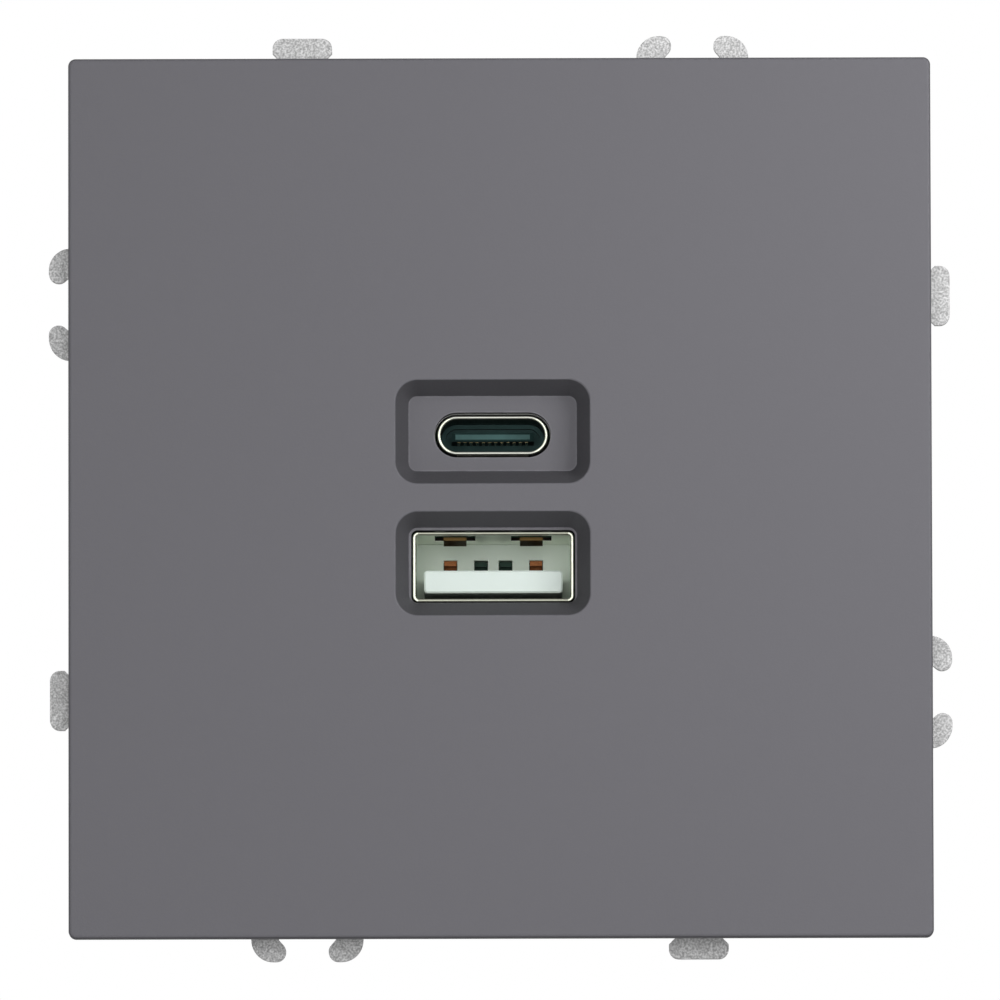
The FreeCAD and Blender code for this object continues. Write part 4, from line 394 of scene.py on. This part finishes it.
plastics = {
    # the cover's edges are lightened partly as a painted highlight, and its well walls get painted shade
    "coverPlastic": {
        "slot": "cover_plastic", "colour": (0.160, 0.157, 0.173), "tint": 0.02, "grain": 5500.0,
        "slow": 22.0, "rough": 0.62, "gloss": 0.2, "edge": 0.00025, "wearAndHighlight": 0.9, "bump": 0.00001,
        "wallShade": 0.5, "flatFrom": 0.85,
    },
    "housingPlastic": {
        "slot": "housing_plastic", "colour": (0.6, 0.6, 0.585), "tint": 0.03, "grain": 5000.0,
        "slow": 90.0, "rough": 0.42, "gloss": 0.5, "edge": 0.0002, "wearAndHighlight": 0.3, "bump": 0.000008,
    },
    "whiteCore": {
        "slot": "white_insulator", "colour": (0.83, 0.93, 0.88), "tint": 0.02, "grain": 6000.0,
        "slow": 300.0, "rough": 0.5, "gloss": 0.3, "edge": 0.0001, "wearAndHighlight": 0.3, "bump": 0.000002,
    },
    # the dark core's walls along the plug's direction get strong painted shade
    "darkCore": {
        "slot": "dark_insulator", "colour": (0.05, 0.115, 0.11), "tint": 0.3, "grain": 6000.0,
        "slow": 900.0, "rough": 0.6, "gloss": 0.2, "edge": 0.00005, "wearAndHighlight": 0.0, "bump": 0.000002,
        "wallShade": 0.1, "flatFrom": 0.97,
    },
    "bobbinPlastic": {
        "slot": "bobbin_plastic", "colour": (0.04, 0.04, 0.042), "tint": 0.08, "grain": 4000.0,
        "slow": 200.0, "rough": 0.4, "gloss": 0.5, "edge": 0.0002, "wearAndHighlight": 0.3, "bump": 0.000006,
    },
    "chipPackage": {
        "slot": "chip_black", "colour": (0.018, 0.018, 0.02), "tint": 0.1, "grain": 9000.0,
        "slow": 300.0, "rough": 0.55, "gloss": 0.45, "edge": 0.0001, "wearAndHighlight": 0.3, "bump": 0.000008,
    },
    "canSleeve": {
        "slot": "can_sleeve", "colour": (0.022, 0.024, 0.045), "tint": 0.12, "grain": 1500.0,
        "slow": 150.0, "rough": 0.3, "gloss": 0.5, "edge": 0.0003, "wearAndHighlight": 0.5, "bump": 0.00001,
    },
    "fuseCoat": {
        "slot": "fuse_body", "colour": (0.23, 0.36, 0.22), "tint": 0.1, "grain": 2500.0, "slow": 300.0,
        "rough": 0.5, "gloss": 0.4, "edge": 0.0002, "wearAndHighlight": 0.3, "bump": 0.00002,
    },
    "discCoat": {
        "slot": "disc_blue", "colour": (0.04, 0.11, 0.42), "tint": 0.1, "grain": 2200.0, "slow": 200.0,
        "rough": 0.34, "gloss": 0.5, "edge": 0.0003, "wearAndHighlight": 0.2, "bump": 0.00002,
    },
    "filmBox": {
        "slot": "film_yellow", "colour": (0.62, 0.42, 0.05), "tint": 0.05, "grain": 3000.0,
        "slow": 200.0, "rough": 0.35, "gloss": 0.5, "edge": 0.0002, "wearAndHighlight": 0.3, "bump": 0.000008,
    },
    "windingTape": {
        "slot": "winding_tape", "colour": (0.72, 0.52, 0.06), "tint": 0.06, "grain": 1200.0,
        "slow": 250.0, "rough": 0.28, "gloss": 0.5, "edge": 0.0002, "wearAndHighlight": 0.2, "bump": 0.00001,
    },
    "barrierFilm": {
        "slot": "barrier_film", "colour": (0.42, 0.27, 0.08), "tint": 0.05, "grain": 1500.0,
        "slow": 120.0, "rough": 0.25, "gloss": 0.5, "edge": 0.0002, "wearAndHighlight": 0.2, "bump": 0.00001,
    },
    "ferriteBlack": {
        "slot": "ferrite", "colour": (0.035, 0.035, 0.038), "tint": 0.15, "grain": 2500.0,
        "slow": 300.0, "rough": 0.48, "gloss": 0.5, "edge": 0.0003, "wearAndHighlight": 0.5, "bump": 0.00002,
    },
}
metals = {
    "galvanisedSheet": {
        "slot": "galvanised_steel", "colour": (0.56, 0.56, 0.56), "contrast": 0.42, "crystals": 4000.0,
        "grit": 6000.0, "along": (1.0, 1.0, 1.0), "lines": 3000.0, "drawn": 0.2, "edge": 0.00012,
        "wearAndHighlight": 0.7, "worn": 0.55, "rough": 0.6, "metal": 0.3, "bump": 0.000008,
    },
    "zincPlate": {
        "slot": "zinc_steel", "colour": (0.6, 0.6, 0.58), "contrast": 0.14, "crystals": 2600.0,
        "grit": 9000.0, "along": (1.0, 0.06, 1.0), "lines": 5000.0, "drawn": 0.6, "edge": 0.00015,
        "wearAndHighlight": 0.4, "worn": 1.25, "rough": 0.36, "metal": 0.9, "bump": 0.000006,
    },
    "springStrip": {
        "slot": "spring_steel", "colour": (0.5, 0.49, 0.47), "contrast": 0.12, "crystals": 3000.0,
        "grit": 9000.0, "along": (1.0, 0.1, 1.0), "lines": 6000.0, "drawn": 0.9, "edge": 0.0001,
        "wearAndHighlight": 0.3, "worn": 1.3, "rough": 0.28, "metal": 1.0, "bump": 0.000004,
    },
    "portShell": {
        "slot": "port_shell", "colour": (0.58, 0.60, 0.50), "contrast": 0.12, "crystals": 4000.0,
        "grit": 9000.0, "along": (1.0, 0.08, 1.0), "lines": 8000.0, "drawn": 0.85, "edge": 0.0001,
        "wearAndHighlight": 0.9, "worn": 0.6, "rough": 0.42, "metal": 1.0, "bump": 0.000003,
    },
    "copperContact": {
        "slot": "contact_copper", "colour": (0.24, 0.085, 0.022), "contrast": 0.12, "crystals": 4000.0,
        "grit": 9000.0, "along": (1.0, 0.08, 1.0), "lines": 8000.0, "drawn": 0.8, "edge": 0.00008,
        "wearAndHighlight": 0.4, "worn": 1.3, "rough": 0.5, "metal": 0.6, "bump": 0.000003,
    },
    "goldContact": {
        "slot": "contact_gold", "colour": (0.25, 0.2, 0.1), "contrast": 0.1, "crystals": 4000.0,
        "grit": 9000.0, "along": (1.0, 0.08, 1.0), "lines": 8000.0, "drawn": 0.8, "edge": 0.00008,
        "wearAndHighlight": 0.4, "worn": 1.25, "rough": 0.26, "metal": 1.0, "bump": 0.000002,
    },
    "terminalBrass": {
        "slot": "brass", "colour": (0.66, 0.49, 0.2), "contrast": 0.12, "crystals": 3000.0,
        "grit": 9000.0, "along": (0.08, 1.0, 1.0), "lines": 5000.0, "drawn": 0.8, "edge": 0.00012,
        "wearAndHighlight": 0.4, "worn": 1.2, "rough": 0.32, "metal": 1.0, "bump": 0.000004,
    },
}

# tones laid by place in and round the two ports: mostly painted shade and painted light
shellLow, shellHigh = (Vector(corner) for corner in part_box("usb_a_shell"))
slimLow, slimHigh = (Vector(corner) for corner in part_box("usb_c_shell"))
coreLow, coreHigh = (Vector(corner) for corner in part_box("usb_a_insulator"))
contactLow, contactHigh = (Vector(corner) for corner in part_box("usb_a_contacts"))
# the springs hang from the ceiling of the USB-A shell; painted shade dims its floor under the tongue, the
# sides beside it, the spring windows and the level lips, which shine less than upright ones; a painted sheen
# lightens its inside
zones = {
    "side": 0.8 * mm, "sheet": 0.26 * mm, "drop": 1.8 * mm, "lip": 0.45 * mm, "skin": 0.05 * mm,
    "depth": 9.0 * mm, "underTongue": 0.9 * mm, "beside": 2.3 * mm, "middle": 2.2 * mm,
    "corner": 0.45 * mm, "around": 1.2 * mm, "soft": 0.6, "windowShadeShare": 0.96,
}
# painted shade and painted light for the ports, beside the springs' own tone
tones = {
    "insideSheen": (0.92, 0.96, 0.86), "bronzeSpring": (0.05, 0.032, 0.012),
    "windowShade": (0.01, 0.01, 0.008), "shadeBesideTongue": (0.10, 0.11, 0.09), "shadedFloor": (0.07, 0.07, 0.055),
    "slimInsideShade": (0.05, 0.065, 0.06), "levelLipShade": (0.25, 0.255, 0.21), "slimLipShade": (0.34, 0.345, 0.31),
    "shadedContact": (0.008, 0.03, 0.018), "litRearWall": (0.9, 1.0, 0.9), "shadedLowRearWall": (0.2, 0.22, 0.18),
    "unlitHollow": (0.02, 0.02, 0.018),
}


def levelLipShades(low, high, tone):
    # the flat fronts of a shell's bottom and top walls, short of its round corners, which get painted shade
    short, sheet = Vector((zones["corner"], 0, 0)), Vector((0, 0, zones["sheet"]))
    front = Vector((0, low.y + zones["lip"] - high.y, 0))
    bottom = (tone, low + short - lip, Vector((high.x, high.y, low.z)) - short + front + sheet)
    top = (tone, Vector((low.x, low.y, high.z)) + short - lip - sheet, high - short + front)
    return [bottom, top]


springTop = shellHigh.z - zones["sheet"] - zones["skin"]
windowShadeFoot = shellHigh.z - zones["sheet"] * zones["windowShadeShare"]
inset, wall = Vector((zones["side"], 0, 0)), Vector((zones["sheet"] - zones["skin"], 0, 0))
lip, skin = Vector((0, zones["lip"], 0)), Vector((0, 0, zones["skin"]))
below = Vector((0, 0, zones["beside"]))
inside = shellLow + wall + lip + 2 * skin
rear = Vector((coreLow.x, shellLow.y + zones["depth"], coreLow.z))
middle = (contactLow.x + contactHigh.x) / 2
margin = Vector((zones["around"], zones["around"], zones["around"]))
# painted sheen inside the USB-A shell, painted shade beside and under its tongue and inside the USB-C shell
metals["portShell"]["stains"] = [
    (tones["insideSheen"], inside, shellHigh - wall),
    (tones["bronzeSpring"],
     Vector((shellLow.x, shellLow.y, shellHigh.z - zones["drop"])) + inset,
     Vector((shellHigh.x, shellHigh.y, springTop)) - inset),
    # painted shade: a near-black band stands in for dark windows beside the springs, reaching deeper than the
    # cut ones
    (tones["windowShade"],
     Vector((shellLow.x, shellLow.y, windowShadeFoot)) + inset + lip,
     shellHigh + skin - inset),
    (tones["shadeBesideTongue"],
     inside - below,
     Vector((shellHigh.x, shellHigh.y, shellLow.z + zones["beside"])) - wall, zones["soft"]),
    (tones["shadedFloor"],
     inside,
     Vector((shellHigh.x, shellHigh.y, shellLow.z + zones["sheet"] + zones["underTongue"])) - wall),
    (tones["slimInsideShade"], slimLow + wall + lip, slimHigh - wall),
    *levelLipShades(shellLow, shellHigh, tones["levelLipShade"]),
    *levelLipShades(slimLow, slimHigh, tones["slimLipShade"]),
]
# the two inner contacts lie deeper; painted shade darkens them
metals["copperContact"]["stains"] = [
    (tones["shadedContact"],
     Vector((middle - zones["middle"], contactLow.y, contactLow.z)),
     Vector((middle + zones["middle"], contactHigh.y, contactHigh.z))),
]
# painted light brightens the core's rear wall, and painted shade darkens its lower part
plastics["whiteCore"]["stains"] = [
    (tones["litRearWall"], rear, coreHigh + lip),
    (tones["shadedLowRearWall"],
     rear - below - inset,
     Vector((coreHigh.x, coreHigh.y, coreLow.z + zones["beside"])) + inset, zones["soft"]),
]
# the hollow that holds the ports is unlit, and shows through the windows of the springs
plastics["housingPlastic"]["stains"] = [(tones["unlitHollow"], shellLow - margin, shellHigh + margin)]

board = {
    "slot": "board_green", "lacquer": (0.014, 0.13, 0.045), "shade": (0.008, 0.07, 0.026),
    "copper": (0.03, 0.26, 0.08), "tracks": 260.0, "grain": 5000.0, "slow": 180.0, "bump": 0.00001,
    "gap": 0.12, "trackLength": 1.6, "trackWidth": 0.5, "stagger": 0.35, "stretch": 1.7,
    "weave": 0.35, "glossy": 0.22, "dull": 0.34,
}

slotLooks = {look["slot"]: mouldedPlastic(name, look) for name, look in plastics.items()}
slotLooks.update({look["slot"]: platedMetal(name, look) for name, look in metals.items()})
slotLooks[board["slot"]] = boardLacquer("boardLacquer", board)

slotOf = {part["node"]: part["material_slot"] for part in frame["record"]["subparts"]}
for name, thing in frame["nodes"].items():
    thing.data.materials.clear()
    thing.data.materials.append(slotLooks[slotOf[name]])
print("materials on", len(slotOf), "nodes")


# claw screws with a cut thread

thread = {"pitch": 0.5 * mm, "depth": 0.28 * mm, "around": 24, "rowsPerTurn": 6, "plain": 1.2 * mm,
          "shank": 1.5 * mm, "seat": -1.0 * mm, "tipShare": 1 / 3, "slack": 0.02 * mm,
          "flank": 1.25, "crest": 0.12}


def threadRadius(outside, turn):
    # V profile with a small flat crest; turn runs from 0 to 1 along one pitch
    rise = abs(2 * (turn % 1.0) - 1)
    return outside - thread["depth"] * max(0.0, min(1.0, rise * thread["flank"] - thread["crest"]))


def dropPlainShank(work, axisX, axisZ):
    # take out the plain cylinder that the thread stands in for
    slack = thread["slack"]
    doomed = []
    for face in work.faces:
        spots = [(Vector((v.co.x - axisX, v.co.z - axisZ)).length, v.co.y) for v in face.verts]
        if all(abs(r - thread["shank"]) < slack and y > thread["seat"] - slack / 2 for r, y in spots):
            doomed.append(face)
    bmesh.ops.delete(work, geom=doomed, context="FACES")


def threadRing(work, axisX, axisZ, level, fade):
    # one ring of the thread; fade runs from 0, a plain shank, to 1, the full depth
    ring = []
    for step in range(thread["around"]):
        share = step / thread["around"]
        angle = 2 * math.pi * share
        cut = threadRadius(thread["shank"], level / thread["pitch"] - share)
        radius = thread["shank"] + (cut - thread["shank"]) * fade
        spot = (axisX + radius * math.cos(angle), level, axisZ + radius * math.sin(angle))
        ring.append(work.verts.new(spot))
    return ring


def makeClawScrew(node):
    source = frame["nodes"][node]
    low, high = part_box(node)
    axisX, axisZ = (low[0] + high[0]) / 2, (low[2] + high[2]) / 2
    tip = high[1] - thread["shank"] * thread["tipShare"]
    mesh = bpy.data.meshes.new(node + "_threaded")
    work = bmesh.new()
    work.from_mesh(source.data)
    dropPlainShank(work, axisX, axisZ)
    start = thread["seat"] + thread["plain"]
    rows = int((tip - start) / thread["pitch"] * thread["rowsPerTurn"])
    levels = [thread["seat"]] + [start + (tip - start) * row / rows for row in range(rows + 1)]
    fades = [min(1.0, max(0.0, (level - start) / thread["pitch"])) for level in levels[:-1]] + [0.0]
    rings = [threadRing(work, axisX, axisZ, level, fade) for level, fade in zip(levels, fades)]
    for here, following in zip(rings, rings[1:]):
        for step in range(thread["around"]):
            after = (step + 1) % thread["around"]
            work.faces.new((here[step], following[step], following[after], here[after]))
    bmesh.ops.recalc_face_normals(work, faces=work.faces[:])
    work.to_mesh(mesh)
    work.free()
    piece = bpy.data.objects.new(node + "_threaded", mesh)
    bpy.context.scene.collection.objects.link(piece)
    mesh.materials.clear()
    mesh.materials.append(slotLooks["zinc_steel"])
    return piece


for side in ("right", "left"):
    screw = makeClawScrew(side + "_claw_screw")
    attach(screw, side + "_screw")
    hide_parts(side + "_claw_screw")
print("claw screws threaded")


# floor, light and camera

stage = {"floorDrop": 0.165, "floorSize": 6.0, "floorColour": (0.78, 0.78, 0.78), "floorRough": 0.8,
         "backdrop": (1, 1, 1, 1), "seen": 1.0, "ambient": 0.25}
lamps = {
    "key": {"place": (-0.02, -1.2, 0.01), "size": 0.5, "power": 4.7},
    "side": {"place": (0.13, -0.12, 0.06), "size": 0.07, "power": 0.155},
    "left": {"place": (-0.6, -0.7, -0.2), "size": 0.4, "power": 0.9},
    "rearLeft": {"place": (-0.9, 0.9, 0.6), "size": 0.7, "power": 5.0},
    "rearRight": {"place": (0.9, 0.9, 0.6), "size": 0.7, "power": 5.0},
}
shot = {"distance": 1.4, "elevation": -4.5, "azimuth": 0.0, "roll": 0.14, "focal": 622.0, "sensor": 36.0,
        "imageSize": 1000, "faceAt": (500.2, 496.8), "near": 0.05, "far": 50.0}


def makeFloor():
    mesh = bpy.data.meshes.new("floor")
    half, level = stage["floorSize"] / 2, -stage["floorDrop"]
    mesh.from_pydata([(-half, -half, level), (half, -half, level), (half, half, level), (-half, half, level)],
                     [], [(0, 1, 2, 3)])
    floor = bpy.data.objects.new("floor", mesh)
    bpy.context.scene.collection.objects.link(floor)
    material, tree, shader = newMaterial("paleFloor")
    shader.inputs["Base Color"].default_value = (*stage["floorColour"], 1)
    shader.inputs["Roughness"].default_value = stage["floorRough"]
    # clear from below, so that low views look through it
    clear = place(tree, "ShaderNodeBsdfTransparent", 300, 200)
    behind = place(tree, "ShaderNodeNewGeometry", 300, 400)
    mixed = place(tree, "ShaderNodeMixShader", 500, 200)
    join(tree, behind.outputs["Backfacing"], mixed.inputs[0])
    join(tree, shader.outputs[0], mixed.inputs[1])
    join(tree, clear.outputs[0], mixed.inputs[2])
    output = next(node for node in tree.nodes if node.type == "OUTPUT_MATERIAL")
    join(tree, mixed.outputs[0], output.inputs["Surface"])
    mesh.materials.append(material)


def makeWorld():
    world = bpy.data.worlds.new("studio")
    bpy.context.scene.world = world
    world.use_nodes = True
    tree = world.node_tree
    tree.nodes.clear()
    seen = place(tree, "ShaderNodeBackground", 0, 100)
    seen.inputs["Color"].default_value = stage["backdrop"]
    seen.inputs["Strength"].default_value = stage["seen"]
    around = place(tree, "ShaderNodeBackground", 0, -100)
    around.inputs["Color"].default_value = stage["backdrop"]
    around.inputs["Strength"].default_value = stage["ambient"]
    rays = place(tree, "ShaderNodeLightPath", -600, 0)
    first = place(tree, "ShaderNodeMath", -300, 200, operation="MAXIMUM")
    join(tree, rays.outputs["Is Camera Ray"], first.inputs[0])
    join(tree, rays.outputs["Is Glossy Ray"], first.inputs[1])
    second = place(tree, "ShaderNodeMath", -150, 200, operation="MAXIMUM")
    join(tree, first.outputs[0], second.inputs[0])
    join(tree, rays.outputs["Is Transmission Ray"], second.inputs[1])
    mixed = place(tree, "ShaderNodeMixShader", 200, 0)
    join(tree, second.outputs[0], mixed.inputs[0])
    join(tree, around.outputs[0], mixed.inputs[1])
    join(tree, seen.outputs[0], mixed.inputs[2])
    output = place(tree, "ShaderNodeOutputWorld", 400, 0)
    join(tree, mixed.outputs[0], output.inputs["Surface"])


def makeLamp(name, plan, target):
    light = bpy.data.lights.new(name, "AREA")
    light.shape = "SQUARE"
    light.size = plan["size"]
    light.energy = plan["power"]
    lamp = bpy.data.objects.new(name, light)
    bpy.context.scene.collection.objects.link(lamp)
    lamp.location = plan["place"]
    lamp.rotation_mode = "QUATERNION"
    lamp.rotation_quaternion = (target - lamp.location).to_track_quat("-Z", "Y")
    lamp.visible_camera = False


def makeCamera():
    coverLow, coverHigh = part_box("front_cover")
    faceX, faceY, faceZ = (coverLow[0] + coverHigh[0]) / 2, coverLow[1], (coverLow[2] + coverHigh[2]) / 2
    perPixel = shot["distance"] * shot["sensor"] / shot["focal"] / shot["imageSize"]
    aim = Vector((faceX - (shot["faceAt"][0] - shot["imageSize"] / 2) * perPixel, faceY,
                  faceZ + (shot["faceAt"][1] - shot["imageSize"] / 2) * perPixel))
    turn, rise = math.radians(shot["azimuth"]), math.radians(shot["elevation"])
    back = Vector((math.sin(turn) * math.cos(rise), -math.cos(turn) * math.cos(rise), math.sin(rise)))
    data = bpy.data.cameras.new("camera")
    data.lens, data.sensor_width = shot["focal"], shot["sensor"]
    data.clip_start, data.clip_end = shot["near"], shot["far"]
    camera = bpy.data.objects.new("camera", data)
    bpy.context.scene.collection.objects.link(camera)
    camera.location = aim + back * shot["distance"]
    camera.rotation_mode = "QUATERNION"
    roll = Quaternion((0, 0, 1), -math.radians(shot["roll"]))
    camera.rotation_quaternion = (-back).to_track_quat("-Z", "Y") @ roll
    bpy.context.scene.camera = camera


makeFloor()
makeWorld()
for name, plan in lamps.items():
    makeLamp(name, plan, Vector((0, 0, 0)))
makeCamera()
bpy.context.scene.view_settings.view_transform = "Standard"
print("stage, lamps and camera set")
